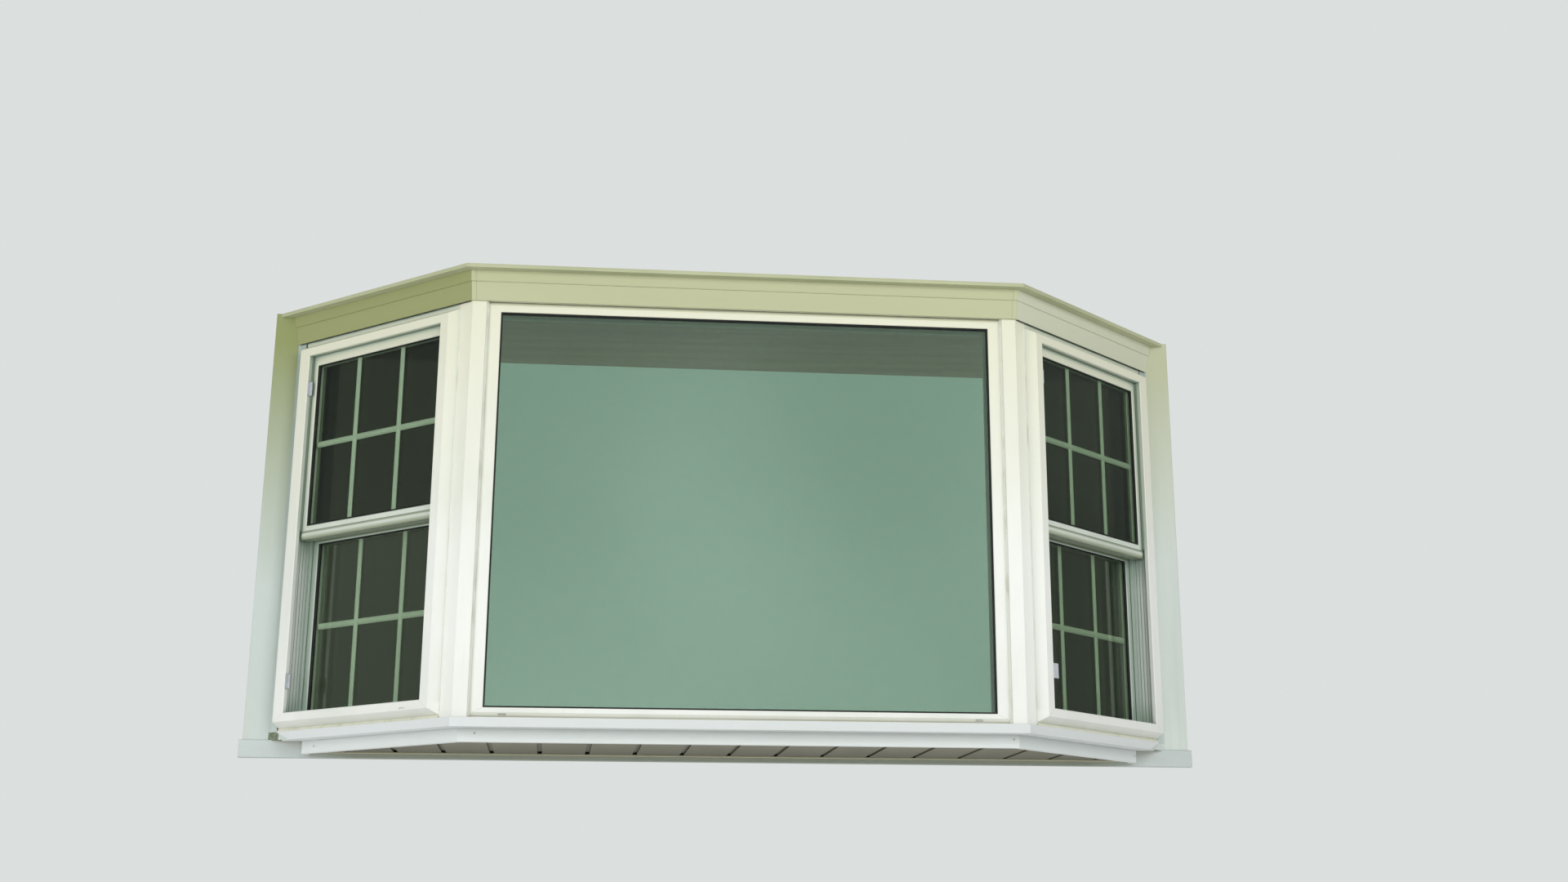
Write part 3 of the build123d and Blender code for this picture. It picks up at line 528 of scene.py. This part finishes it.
add_piece("picture_frame_welds", *joined(parts), weld_line, "vinyl_white")

end_x = picture_half - 0.0075
for name, level, up in (("front_foot_sealant", seat_top, 1), ("front_head_sealant", head_low, -1)):
    start = Vector((-end_x, front_y + frame_foot_back / 2, level + up * 0.0001))
    end = Vector((end_x, front_y + frame_foot_back / 2, level + up * 0.0001))
    wide, proud = frame_foot_back - 0.0012, 0.0016
    run = bead(start, end, Vector((0, 1, 0)), Vector((0, 0, up)), wide, proud, 0.08)
    smooth(add_piece(name, *run, frame_sealant, "vinyl_white"))

# Weep covers
# Small vinyl flaps in the two drain slots at the foot of the picture frame, hinged at the top.
# A fine dark gap shows under each.
weep_white = vinyl_finish("weep_white", seen(226, 228, 218), seen(206, 208, 196))


def weep_flap(centre, across, out, width, height):
    """A flap that hangs from the head of its slot and stands off a little at the foot."""
    rings = []
    for side in (-1, 1):
        middle = centre + across * side * width / 2
        rise = Vector((0, 0, height / 2))
        foot = middle - rise * 0.6
        head = middle + rise
        rings.append([foot, head, head + out * 0.0012, foot + out * 0.002])
    return loft(rings)


weep_out, weep_up, weep_sink = picture_half - 0.086, 0.008, 0.0072
parts = []
for x in (-weep_out, weep_out):
    slot_middle = front_place(x, weep_up, -picture_recess - weep_sink)
    parts.append(weep_flap(slot_middle, Vector((1, 0, 0)), out_front, 0.0235, 0.0042))
add_piece("front_weep_covers", *joined(parts), weep_white, "vinyl_white")

# Side window frames
# Deep welded frames that stand proud of the corner covers, with a wide bevel round the face.
# The sashes run in grooved tracks behind the face; a dark pile strip seals the upper sash.
# Painted grey-green shade deep in the frame's reveal.
frame_vinyl = vinyl_finish("frame_vinyl", vinyl_white, vinyl_shade, 0.09, seen(152, 172, 158), 0.35)
frame_vinyl.on("left_frame", "right_frame")
side_proud = 0.028
side_bevel, side_bevel_wall = 0.015, 0.007
contour_low, contour_high = 0.008, 0.016
side_face = 0.031
side_face_end = 0.0225
eye_half = side_width / 2 - side_bevel - side_face
eye_low = contour_low + side_bevel + side_face_end
eye_high = window_rise - contour_high - side_bevel - side_face_end
side_middle = side_start + side_width / 2


def on_side(turn, x, up, out):
    """A point on a side window, by its distance from the window's own middle."""
    return side_place(turn, side_middle + x, up, out)


def over_the_top(turn, half, low, high, outline):
    """A closed outline, inward and outward, carried up one side of an opening, across its head
    and down the other side, with mitred corners."""
    rings = []
    for side, level, step in ((-1, low, 0), (-1, high, -1), (1, high, -1), (1, low, 0)):
        rings.append([on_side(turn, side * (half - i), level + step * i, o) for i, o in outline])
    return loft(rings)


pile = Finish("pile", seen(124, 138, 122), 0.95)
pile.stain(pile.span(pile.patches(0.0012), 0.4, 0.7), seen(148, 160, 144))
pile.relief(pile.patches(0.0008), 0.0006, 1)
pile_outline = ((-0.004, 0.0098), (0.0002, 0.0098), (0.0006, 0.0158), (-0.004, 0.0158))
pile_from = eye_low + 0.4885
corner_rows = ((contour_low, 1, eye_low), (window_rise - contour_high, -1, eye_high))
for turn, hand in ((-1, "left"), (1, "right")):
    out_side = side_out(turn)
    parts = []
    for side, bevel in ((-1, side_bevel), (1, side_bevel_wall)):
        for level, step, inner in corner_rows:
            foot = on_side(turn, side * (side_width / 2 - 0.0005), level + step * 0.0005, 0.001)
            crest = on_side(
                turn, side * (side_width / 2 - bevel), level + step * side_bevel, side_proud)
            eye = on_side(turn, side * (eye_half + 0.002), inner - step * 0.002, side_proud)
            parts += [seam([foot, crest], out_side), seam([crest, eye], out_side)]
    add_piece(f"{hand}_frame_welds", *joined(parts), weld_line, "vinyl_white")
    shape = over_the_top(turn, eye_half, pile_from, eye_high, pile_outline)
    add_piece(f"{hand}_pile_strip", *shape, pile, "black_seal")

# Sashes
# Welded sashes, the upper one in the outer track. Its lowest rail has a flat band, a groove and
# a rounded moulding, and laps over the top rail of the lower sash.
# The sashes are painted greyer than the frames, partly as the shade of their recess, and grey-green
# shade deep in the reveal.
sash_vinyl = vinyl_finish(
    "sash_vinyl", seen(216, 223, 214), seen(198, 207, 196), 0.09, seen(156, 176, 160), 0.35)
sash_vinyl.on("left_upper_sash", "right_upper_sash", "left_lower_sash", "right_lower_sash")
sash_half = 0.274
sash_stile = 0.024
glass_half = sash_half - sash_stile
up_front, low_front = 0.008, -0.038
sash_rise = 0.5195
low_sash_foot = 0.018
pocket_rise = 1.010
up_sash_foot = low_sash_foot + pocket_rise - sash_rise
moulding_foot = seat_top + up_sash_foot - 0.002
moulding_head = seat_top + up_sash_foot + 0.021
# Painted shade: olive on the lower part of the moulding, which faces down, and in the groove over
# it.
height_up = sash_vinyl.ahead_of((0, 0, 1, 0))
over_foot = sash_vinyl.height(moulding_foot, moulding_foot + 0.003, 1)
moulding_shade = sash_vinyl.span(height_up, moulding_foot + 0.004, moulding_foot + 0.014, 0.85, 0)
sash_vinyl.stain(sash_vinyl.both(over_foot, moulding_shade), seen(136, 146, 112))
groove_shade = sash_vinyl.span(height_up, moulding_head, moulding_head + 0.001, 0.8, 0)
groove_shade = sash_vinyl.both(sash_vinyl.height(moulding_head - 0.007, moulding_head - 0.002, 1), groove_shade)
sash_vinyl.stain(groove_shade, seen(140, 150, 120))
low_rail, meeting_rail, check_rail, top_rail = 0.035, 0.038, 0.035, 0.032
sash_rows = (
    (up_front, up_sash_foot, meeting_rail, top_rail),
    (low_front, low_sash_foot, low_rail, check_rail),
)
for turn, hand in ((-1, "left"), (1, "right")):
    parts = []
    for face, foot, foot_rail, head_rail in sash_rows:
        head = foot + sash_rise
        for side in (-1, 1):
            outer = on_side(turn, side * (sash_half - 0.001), head - 0.001, face)
            inner = on_side(turn, side * (glass_half + 0.0035), head - head_rail + 0.0035, face)
            parts.append(seam([outer, inner], side_out(turn)))
    add_piece(f"{hand}_sash_welds", *joined(parts), weld_line, "vinyl_white")

# Glazing
# Double glazing with a green cast, dark from outside: its inner pane is painted dark as the shade
# of the room behind, darker on the upper sashes and on the right. Flat bars with sloped edges and a
# spacer of the same white lie between the panes of the sashes. Black rubber seals the outer pane;
# it shows as a fine line, and wider on the wall side.
pane_step = up_front - low_front


def two_panes(name, outer_cast, shine, plane, halfway):
    """A finish for a pair of panes, and where its inner pane is: the one painted dark as shade."""
    made = Finish(
        name, outer_cast, 0.01, Transmission_Weight=1.0, IOR=1.5, Specular_IOR_Level=shine)
    depth = made.ahead_of(plane)
    turned = made.tree.nodes.new("ShaderNodeMath")
    turned.operation = "WRAP"
    turned.inputs[1].default_value = halfway + pane_step / 2
    turned.inputs[2].default_value = halfway - pane_step / 2
    made.tree.links.new(depth, turned.inputs[0])
    made.relief(made.patches(0.4, (1, 1, 1.6), 1), 0.004, 0.1)
    return made, made.span(turned.outputs[0], halfway - 0.001, halfway + 0.001, 1, 0)


def let_light_through(made, dark_inner, outer_cast, dark_inner_lamp_cast):
    """Lamplight passes the panes straight on, tinted, and less through the dark inner one."""
    cast = made.tree.nodes.new("ShaderNodeMix")
    cast.data_type = "RGBA"
    cast.inputs["A"].default_value = (*outer_cast, 1)
    cast.inputs["B"].default_value = (*dark_inner_lamp_cast, 1)
    made.tree.links.new(dark_inner, cast.inputs["Factor"])
    straight_on = made.tree.nodes.new("ShaderNodeBsdfTransparent")
    made.tree.links.new(cast.outputs["Result"], straight_on.inputs["Color"])
    rays = made.tree.nodes.new("ShaderNodeLightPath")
    either = made.tree.nodes.new("ShaderNodeMixShader")
    made.tree.links.new(rays.outputs["Is Shadow Ray"], either.inputs[0])
    made.tree.links.new(made.shader.outputs[0], either.inputs[1])
    made.tree.links.new(straight_on.outputs[0], either.inputs[2])
    made.tree.links.new(either.outputs[0], made.tree.nodes["Material Output"].inputs["Surface"])


# The inner pane is painted dark as the shade of the room behind; on the front it is painted
# lighter.
front_glass, front_dark_inner = two_panes(
    "front_glass", seen(212, 224, 216), 0.9, (0, 1, 0, front_y), -0.024)
front_glass.stain(front_dark_inner, seen(140, 172, 152))
let_light_through(front_glass, front_dark_inner, seen(232, 240, 235), seen(188, 210, 196))
front_glass.on("picture_panes")

side_plane_away = -math.sin(slant) * ridge_x + math.cos(slant) * front_y
side_plane = (math.sin(slant), math.cos(slant), 0, side_plane_away)
dark_inner_end = side_middle + glass_half - 0.013
wall_edge_plane = (math.cos(slant), -math.sin(slant), 0,
                   -math.cos(slant) * ridge_x - math.sin(slant) * front_y - dark_inner_end)
meeting_up = (0, 0, 1, -(seat_top + up_sash_foot + 0.01))
# Painted light and shade: the left panes lighter than the right, and the upper sash's inner pane
# darker than the lower's.
for hand, outer_cast, dark_inner_cast, upper_shade_cast in (
    ("left", seen(206, 220, 204), seen(68, 70, 60), seen(44, 46, 34)),
    ("right", seen(190, 206, 187), seen(52, 54, 44), seen(42, 44, 33)),
):
    side_glass, dark_inner = two_panes(f"{hand}_glass", outer_cast, 0.5, side_plane, -0.007)
    short_of_edge = side_glass.span(side_glass.ahead_of(wall_edge_plane), -0.001, 0.001, 1, 0)
    dark_inner = side_glass.both(dark_inner, short_of_edge)
    side_glass.stain(dark_inner, dark_inner_cast)
    upper = side_glass.span(side_glass.ahead_of(meeting_up), -0.001, 0.001)
    side_glass.stain(side_glass.both(dark_inner, upper), upper_shade_cast)
    let_light_through(side_glass, dark_inner, seen(228, 237, 227), seen(186, 190, 182))
    side_glass.on(f"{hand}_panes")

black_seal = Finish("black_seal", seen(26, 27, 26), 0.55)
chalked = black_seal.span(black_seal.patches(0.02, (1, 1, 2)), 0.5, 0.8, 0, 0.6)
black_seal.stain(chalked, seen(52, 54, 50))
black_seal.rough(black_seal.patches(0.01), 0.45, 0.7)
black_seal.relief(black_seal.patches(0.0015), 0.0001, 0.5)
black_seal.on("picture_spacer", "picture_gasket")

seal_lip, wall_lip, seal_thick, glass_leg = 0.003, 0.010, 0.004, 0.005
near, far = side_middle - glass_half, side_middle + glass_half
for turn, hand in ((-1, "left"), (1, "right")):
    parts = []
    for face, foot, foot_rail, head_rail in sash_rows:
        low, high = foot + foot_rail, foot + sash_rise - head_rail
        back = face - glass_leg
        front = back + seal_thick
        rings = []
        for along, up, inner_along, inner_up in (
            (near, low, near + seal_lip, low + seal_lip),
            (far, low, far - wall_lip, low + seal_lip),
            (far, high, far - wall_lip, high - seal_lip),
            (near, high, near + seal_lip, high - seal_lip),
        ):
            rings.append([
                side_place(turn, along, up, back),
                side_place(turn, inner_along, inner_up, back),
                side_place(turn, inner_along, inner_up, front),
                side_place(turn, along, up, front),
            ])
        parts.append(loft([*rings, rings[0]], closed_ends=False))
    seals = add_piece(f"{hand}_sash_seals", *joined(parts), black_seal, "black_seal")
    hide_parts(f"{hand}_gaskets")

bar_paint = Finish("bar_paint", seen(246, 248, 240), 0.38)
bar_paint.stain(bar_paint.span(bar_paint.patches(0.05), 0.5, 0.8, 0, 0.5), seen(220, 224, 212))
bar_paint.rough(bar_paint.patches(0.02), 0.32, 0.46)
bar_paint.round_edges(0.0006)
bar_paint.relief(bar_paint.patches(0.0012), 0.00005, 0.4)
bar_paint.on("left_grilles", "right_grilles", "left_spacers", "right_spacers")

# Sash locks
# A cast cam lock on the top rail of each lower sash, on the room side, with its lever closed.
# It is painted white, with faint worn patches.
lock_paint = Finish("lock_paint", seen(232, 232, 224), 0.32)
lock_paint.stain(lock_paint.span(lock_paint.patches(0.012), 0.6, 0.75, 0, 0.7), seen(190, 188, 176))
lock_paint.round_edges(0.001)
lock_paint.relief(lock_paint.patches(0.0015), 0.00008, 0.5)
lock_paint.on("left_sash_lock", "right_sash_lock")

# Screen clips
# Small grey plastic angles on the return of the side frames, two to a window, that can hold an
# insect screen. One of them is turned out.
clip_plastic = Finish("clip_plastic", seen(198, 202, 208), 0.45)
greyed = clip_plastic.span(clip_plastic.patches(0.008), 0.45, 0.75, 0, 0.8)
clip_plastic.stain(greyed, seen(176, 180, 184))
clip_plastic.round_edges(0.0006)
clip_plastic.relief(clip_plastic.patches(0.001), 0.00006, 0.5)
clip_plastic.on("left_screen_clips", "right_screen_clips")

# Frieze
# Boards that close the top of the bay, wrapped in cream coil, leaning out to a step and on.
# The front wrap laps round both corners with a narrow flange. The left board is painted olive
# and darker as shade, and the right one palest as light.
frieze_cream = trim_finish("frieze_cream", seen(196, 198, 162), seen(182, 185, 146), level_grain)
frieze_cream.on("frieze_centre")
# Painted shade on the left board and painted light on the right, copies of one cream coil.
frieze_shaded = trim_finish("frieze_shaded", seen(166, 170, 120), seen(150, 156, 104), level_grain)
frieze_shaded.on("frieze_left")
frieze_lit = trim_finish("frieze_lit", seen(215, 217, 194), seen(203, 206, 181), level_grain)
frieze_lit.on("frieze_right")
frieze_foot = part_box("frieze_centre")[0].z
channel_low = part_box("soffit_channel")[0].z
frieze_step_up = 0.050
half_turn = math.tan(slant / 2)
frieze_profile = (
    (frieze_foot, 0.006),
    (frieze_foot + frieze_step_up, 0.012),
    (frieze_foot + frieze_step_up, 0.014),
    (channel_low, 0.017),
)
lap_width, lap_skin = 0.012, 0.0008
for turn, hand in ((-1, "left"), (1, "right")):
    rings = []
    for up, out in frieze_profile:
        edge = ridge_x + half_turn * out
        inner = Vector((turn * (edge - lap_width), front_y - out, up))
        tip = Vector((turn * edge, front_y - out, up))
        skin_tip = Vector((turn * (edge + half_turn * lap_skin), front_y - out - lap_skin, up))
        skin_inner = Vector((turn * (edge - lap_width), front_y - out - lap_skin, up))
        rings.append([inner, tip, skin_tip, skin_inner])
    add_piece(f"{hand}_frieze_lap", *loft(rings), frieze_cream, "trim_white")

frieze_hem_up = frieze_foot + frieze_step_up + 0.0011
frieze_hem_out, frieze_hem_width, frieze_hem_rise = 0.0135, 0.0026, 0.0014
upward = Vector((0, 0, 1))


def frieze_hem(name, start, end, out, finish):
    """The folded hem of the wrap along the step, a fine rounded line."""
    start.z = end.z = frieze_hem_up
    hem = bead(start, end, upward, out, frieze_hem_width, frieze_hem_rise, 0)
    smooth(add_piece(name, *hem, finish, "trim_white"))


for turn, hand, finish in ((-1, "left", frieze_shaded), (1, "right", frieze_lit)):
    start = side_place(turn, half_turn * -frieze_hem_out, 0, frieze_hem_out)
    end = side_place(turn, post_face_end - 0.004, 0, frieze_hem_out)
    frieze_hem(f"{hand}_frieze_hem", start, end, side_out(turn), finish)
hem_end = ridge_x + half_turn * frieze_hem_out
start, end = front_place(-hem_end, 0, frieze_hem_out), front_place(hem_end, 0, frieze_hem_out)
frieze_hem("centre_frieze_hem", start, end, out_front, frieze_cream)
# Painted shadow: a dark bead under the lower edge of each side frieze, for the shaded gap over the
# frame.
for turn, hand in ((-1, "left"), (1, "right")):
    start = side_place(turn, 0.006, 0, 0.0026)
    end = side_place(turn, post_face_end - 0.003, 0, 0.0026)
    start.z = end.z = frieze_foot - 0.0004
    joint = bead(start, end, side_out(turn), -upward, 0.0052, 0.0018, 0.3)
    smooth(add_piece(f"{hand}_frieze_joint", *joint, joint_dark, "black_seal"))

# Soffit channel
# A vinyl channel round the head of the bay that takes the cut ends of the panels above.
# It is extruded in the sage of the eave and runs along the top of the frieze.
sage_vinyl = Finish("sage_vinyl", seen(190, 193, 158), 0.6)
faded = sage_vinyl.span(sage_vinyl.patches(0.15, (2, 2, 1)), 0.4, 0.7, 0, 0.7)
sage_vinyl.stain(faded, seen(172, 176, 140))
# Painted shade and dirt where other surfaces stand close.
sage_vinyl.stain(sage_vinyl.span(sage_vinyl.corners(0.01), 0.4, 0.95, 0, 0.5), seen(96, 96, 74))
sage_vinyl.rough(sage_vinyl.patches(0.03), 0.5, 0.72)
sage_vinyl.round_edges(0.001)
sage_vinyl.relief(sage_vinyl.patches(0.002, (6, 6, 1), 4), 0.0002, 0.5)
sage_vinyl.on("soffit_channel")

# Sill cap
# The rounded-edge white cap that the windows stand on, in three mitred lengths. Its wall ends
# are cut back on a slope. A cream bead of sealant seals each side frame to it.
cap_white = trim_finish("cap_white", seen(226, 230, 230), seen(208, 212, 208), level_grain)
cap_white.on("sill_cap_left", "sill_cap_centre", "sill_cap_right")

sill_sealant = sealant_finish(
    "sill_sealant", seen(224, 225, 206), seen(198, 199, 174), 0.35, (1, 1, 3), 0.7, 0.0006)
sill_bead_back = ((-0.0009, 0.0002), (0.0078, 0.0002))
sill_bead_front = ((0.0060, 0.0026), (0.0024, 0.0046), (-0.0009, 0.0062))
sill_bead_steps = 60
for turn, hand in ((-1, "left"), (1, "right")):
    rings = []
    for k in range(sill_bead_steps + 1):
        along = side_start + 0.001 + (side_width - 0.002) * k / sill_bead_steps
        swell = 0.0006 * noise.noise(Vector((turn * 5.3, along * 22, 0)))
        ring = [side_place(turn, along, up, out) for up, out in sill_bead_back]
        ring += [side_place(turn, along, up, out + swell) for up, out in sill_bead_front]
        rings.append(ring)
    smooth(add_piece(f"{hand}_sill_sealant", *loft(rings), sill_sealant, "vinyl_white"))

# Seat fascia
# White boards under the cap that hide the edge of the seat, wrapped in the same kind of coil
# as the ledger. They are set back, and face-nailed with small painted heads.
fascia_white = trim_finish("fascia_white", seen(234, 238, 236), seen(216, 222, 218), level_grain)
fascia_white.on("seat_fascia_left", "seat_fascia_centre", "seat_fascia_right")
nail_grey = Finish("nail_grey", seen(196, 200, 196), 0.4, Metallic=0.2)
nail_grey.stain(nail_grey.span(nail_grey.patches(0.002), 0.45, 0.7), seen(156, 158, 148))
nail_grey.relief(nail_grey.patches(0.0012), 0.0002, 0.6)


def nail_head(centre, out, radius=0.0028, rise=0.0009):
    """A low domed head standing on a surface."""
    side = out.cross(Vector((0, 0, 1))).normalized()
    over = side.cross(out).normalized()
    rings = []
    for reach, height in ((1, 0), (1, 0.35), (0.8, 0.8), (0.35, 1)):
        ring_points = []
        for k in range(14):
            angle = 2 * math.pi * k / 14
            across = (side * math.cos(angle) + over * math.sin(angle)) * radius * reach
            ring_points.append(centre + across + out * rise * height)
        rings.append(ring_points)
    return loft(rings)


fascia_back = 0.035
nail_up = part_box("seat_fascia_centre")[0].z + 0.021
parts = []
for x in (-0.668, 0.697):
    parts.append(nail_head(Vector((x, front_y + fascia_back, nail_up)), out_front))
for turn in (-1, 1):
    spot = side_place(turn, 0.585 + turn * 0.02, 0, -fascia_back)
    spot.z = nail_up - 0.004
    parts.append(nail_head(spot, side_out(turn)))
smooth(add_piece("fascia_nails", *joined(parts), nail_grey, "trim_white"), 30)

# Underside panel
# Ribbed vinyl strips that close the bay from below, in a beige trim channel round the edge.
# They are painted dark as the shade under the bay, darker between the ribs and darkest near the
# wall.
# Painted shade: the whole underside is darkened.
underside_vinyl = Finish("underside_vinyl", seen(132, 128, 106), 0.6)
dusty = underside_vinyl.span(underside_vinyl.patches(0.12, (1, 3, 1)), 0.4, 0.7, 0, 0.7)
underside_vinyl.stain(dusty, seen(116, 110, 88))
# Painted shade between the ribs.
rib_shade = underside_vinyl.span(underside_vinyl.corners(0.025), 0.3, 0.9, 0, 0.7)
underside_vinyl.stain(rib_shade, seen(60, 54, 40))
# Painted shade, darker towards the wall.
wall_shade = underside_vinyl.span(underside_vinyl.ahead_of((0, 1, 0, 0)), 0.1, 0.4, 0.75, 0)
underside_vinyl.stain(wall_shade, seen(80, 80, 60))
underside_vinyl.round_edges(0.001)
underside_vinyl.relief(underside_vinyl.patches(0.002, (1, 8, 1), 4), 0.0002, 0.5)
underside_vinyl.on("underside_panel")
beige_trim = trim_finish("beige_trim", seen(196, 192, 164), seen(176, 170, 142), level_grain)
beige_trim.on("underside_trim")

# Casings
# Flat painted boards on the wall beside the bay, with brush marks along their length. They are
# painted greenish towards the top as the shade under the eave, more on the left, and the left
# board is painted darker than the right as shade.


def casing_paint(hand, colour, eave_shade, eave_shade_from):
    """White house paint gone grey, with painted eave shade fading in over the height."""
    made = Finish(f"{hand}_casing_paint", colour, 0.55)
    brushed = made.span(made.patches(0.018, (1, 1, 30), 4), 0.45, 0.7, 0, 0.35)
    made.stain(brushed, seen(198, 208, 203))
    made.stain(made.span(made.patches(0.05, (1, 1, 12)), 0.45, 0.75, 0, 0.35), seen(202, 204, 188))
    # Painted shade and dirt in the joints.
    made.stain(made.span(made.corners(0.02), 0.35, 0.95, 0, 0.6), joint_shade_and_dirt)
    # Painted shade of the eave, greenish towards the top.
    made.stain(made.height(eave_shade_from, 1.12, 0.97), eave_shade)
    made.rough(made.patches(0.02, (1, 1, 10)), 0.45, 0.65)
    made.round_edges(0.0015)
    made.relief(made.patches(0.0025, (1, 1, 40), 4), 0.0003, 0.5)
    made.on(f"{hand}_casing")


# The left board is painted darker than the right as shade.
casing_paint("left", seen(205, 214, 209), seen(146, 154, 98), 0.42)
casing_paint("right", seen(221, 228, 221), seen(198, 201, 169), 0.55)

# Floor and light
# A plain pale floor well below the window, and broad soft lamps in front of and behind it.
# What the glass mirrors is bright on the lamps' side only, like a lit sheet of cloth.
floor_level = -1.3
floor_mesh = bpy.data.meshes.new("floor")
reach = 40
floor_mesh.from_pydata(
    [(-reach, -reach, floor_level), (reach, -reach, floor_level), (reach, reach, floor_level),
     (-reach, reach, floor_level)], [], [(0, 1, 2, 3)])
floor = bpy.data.objects.new("floor", floor_mesh)
bpy.context.scene.collection.objects.link(floor)
floor_finish = Finish("floor_finish", (0.82, 0.82, 0.82), 0.85)
floor_finish.stain(floor_finish.patches(1.5), (0.86, 0.86, 0.86))
floor_mesh.materials.append(floor_finish.material)

studio = bpy.data.worlds.new("studio")
bpy.context.scene.world = studio
studio.use_nodes = True
wires = studio.node_tree.links
backdrop = studio.node_tree.nodes["Background"]
backdrop.inputs["Color"].default_value = (0.96, 1.0, 0.99, 1)
backdrop_level, lamp_side_level, room_level = 0.74, 0.95, 0.5


def studio_maths(operation, first, second):
    made = studio.node_tree.nodes.new("ShaderNodeMath")
    made.operation = operation
    made.use_clamp = False
    for socket, value in zip(made.inputs, (first, second)):
        if isinstance(value, (int, float)):
            socket.default_value = value
        else:
            wires.new(value, socket)
    return made.outputs[0]


def studio_fade(value, low, high, to_low, to_high):
    made = studio.node_tree.nodes.new("ShaderNodeMapRange")
    made.interpolation_type = "SMOOTHSTEP"
    ends = {"From Min": low, "From Max": high, "To Min": to_low, "To Max": to_high}
    for socket, number in ends.items():
        made.inputs[socket].default_value = number
    wires.new(value, made.inputs["Value"])
    return made.outputs["Result"]


rays = studio.node_tree.nodes.new("ShaderNodeLightPath")
heading = studio.node_tree.nodes.new("ShaderNodeSeparateXYZ")
heading_from = studio.node_tree.nodes.new("ShaderNodeTexCoord").outputs["Generated"]
wires.new(heading_from, heading.inputs[0])
to_lamps = studio_fade(studio_maths("MULTIPLY", heading.outputs["Y"], -1), 0.35, 0.9, 0.12, 1)
low_down = studio_fade(heading.outputs["Z"], 0.12, 0.55, 1, 0.25)
cloth = studio.node_tree.nodes.new("ShaderNodeTexNoise")
cloth.inputs["Scale"].default_value = 4.5
cloth.inputs["Detail"].default_value = 1.5
wires.new(heading_from, cloth.inputs["Vector"])
folds = studio_fade(cloth.outputs["Fac"], 0.34, 0.66, 0.66, 1.34)
mirrored = studio_maths("MULTIPLY", studio_maths("MULTIPLY", to_lamps, low_down), lamp_side_level)
mirrored = studio_maths("MULTIPLY", mirrored, folds)
ahead = studio_fade(studio_maths("ABSOLUTE", heading.outputs["Y"], 0), 0.35, 0.75, 0.3, 1)
seen_through = studio_maths("MULTIPLY", rays.outputs["Is Transmission Ray"], ahead)
straight = studio_maths("MAXIMUM", rays.outputs["Is Camera Ray"], seen_through)
through_or_mirrored = studio_maths(
    "MAXIMUM", rays.outputs["Is Transmission Ray"], rays.outputs["Is Glossy Ray"])
any_clear_ray = studio_maths("MAXIMUM", rays.outputs["Is Camera Ray"], through_or_mirrored)
plain = studio_maths("SUBTRACT", 1, any_clear_ray)
parts = (
    studio_maths("MULTIPLY", straight, backdrop_level),
    studio_maths("MULTIPLY", rays.outputs["Is Glossy Ray"], mirrored),
    studio_maths("MULTIPLY", plain, room_level),
)
total = studio_maths("ADD", parts[0], studio_maths("ADD", parts[1], parts[2]))
wires.new(total, backdrop.inputs["Strength"])


def lamp(name, spot, target, width, height, power):
    light = bpy.data.lights.new(name, "AREA")
    light.shape = "RECTANGLE"
    light.size, light.size_y = width, height
    light.energy = power
    made = bpy.data.objects.new(name, light)
    made.location = spot
    made.rotation_euler = (Vector(target) - Vector(spot)).to_track_quat("-Z", "Y").to_euler()
    made.visible_camera = made.visible_glossy = made.visible_transmission = False
    bpy.context.scene.collection.objects.link(made)


lamp("front_lamp", (1.6, -4.6, 1.7), (0, -0.3, 0.6), 3.2, 2.4, 95)
lamp("side_lamp", (-3.8, -3.0, 0.7), (-0.6, -0.2, 0.5), 2.4, 2.4, 58)
lamp("room_lamp", (0.6, 3.6, 2.2), (0, 0, 0.6), 3.0, 2.4, 80)

# Camera
# The photograph was taken from below and a little to the left, and its frame is a crop from
# a larger one, so the view is shifted.
view_width = 1920
focal_pixels = 2516.9
centre_right, centre_down = 23.8, -200.0
camera = bpy.data.objects.new("camera", bpy.data.cameras.new("camera"))
bpy.context.scene.collection.objects.link(camera)
bpy.context.scene.camera = camera
camera.data.sensor_width = 36
camera.data.lens = 36 * focal_pixels / view_width
camera.data.shift_x = -centre_right / view_width
camera.data.shift_y = centre_down / view_width
camera.location = (-0.4712, -5.7483, -0.4596)
camera.rotation_euler = (math.radians(90 + 17.619), math.radians(-0.069), math.radians(-6.783))
bpy.context.scene.view_settings.view_transform = "Standard"
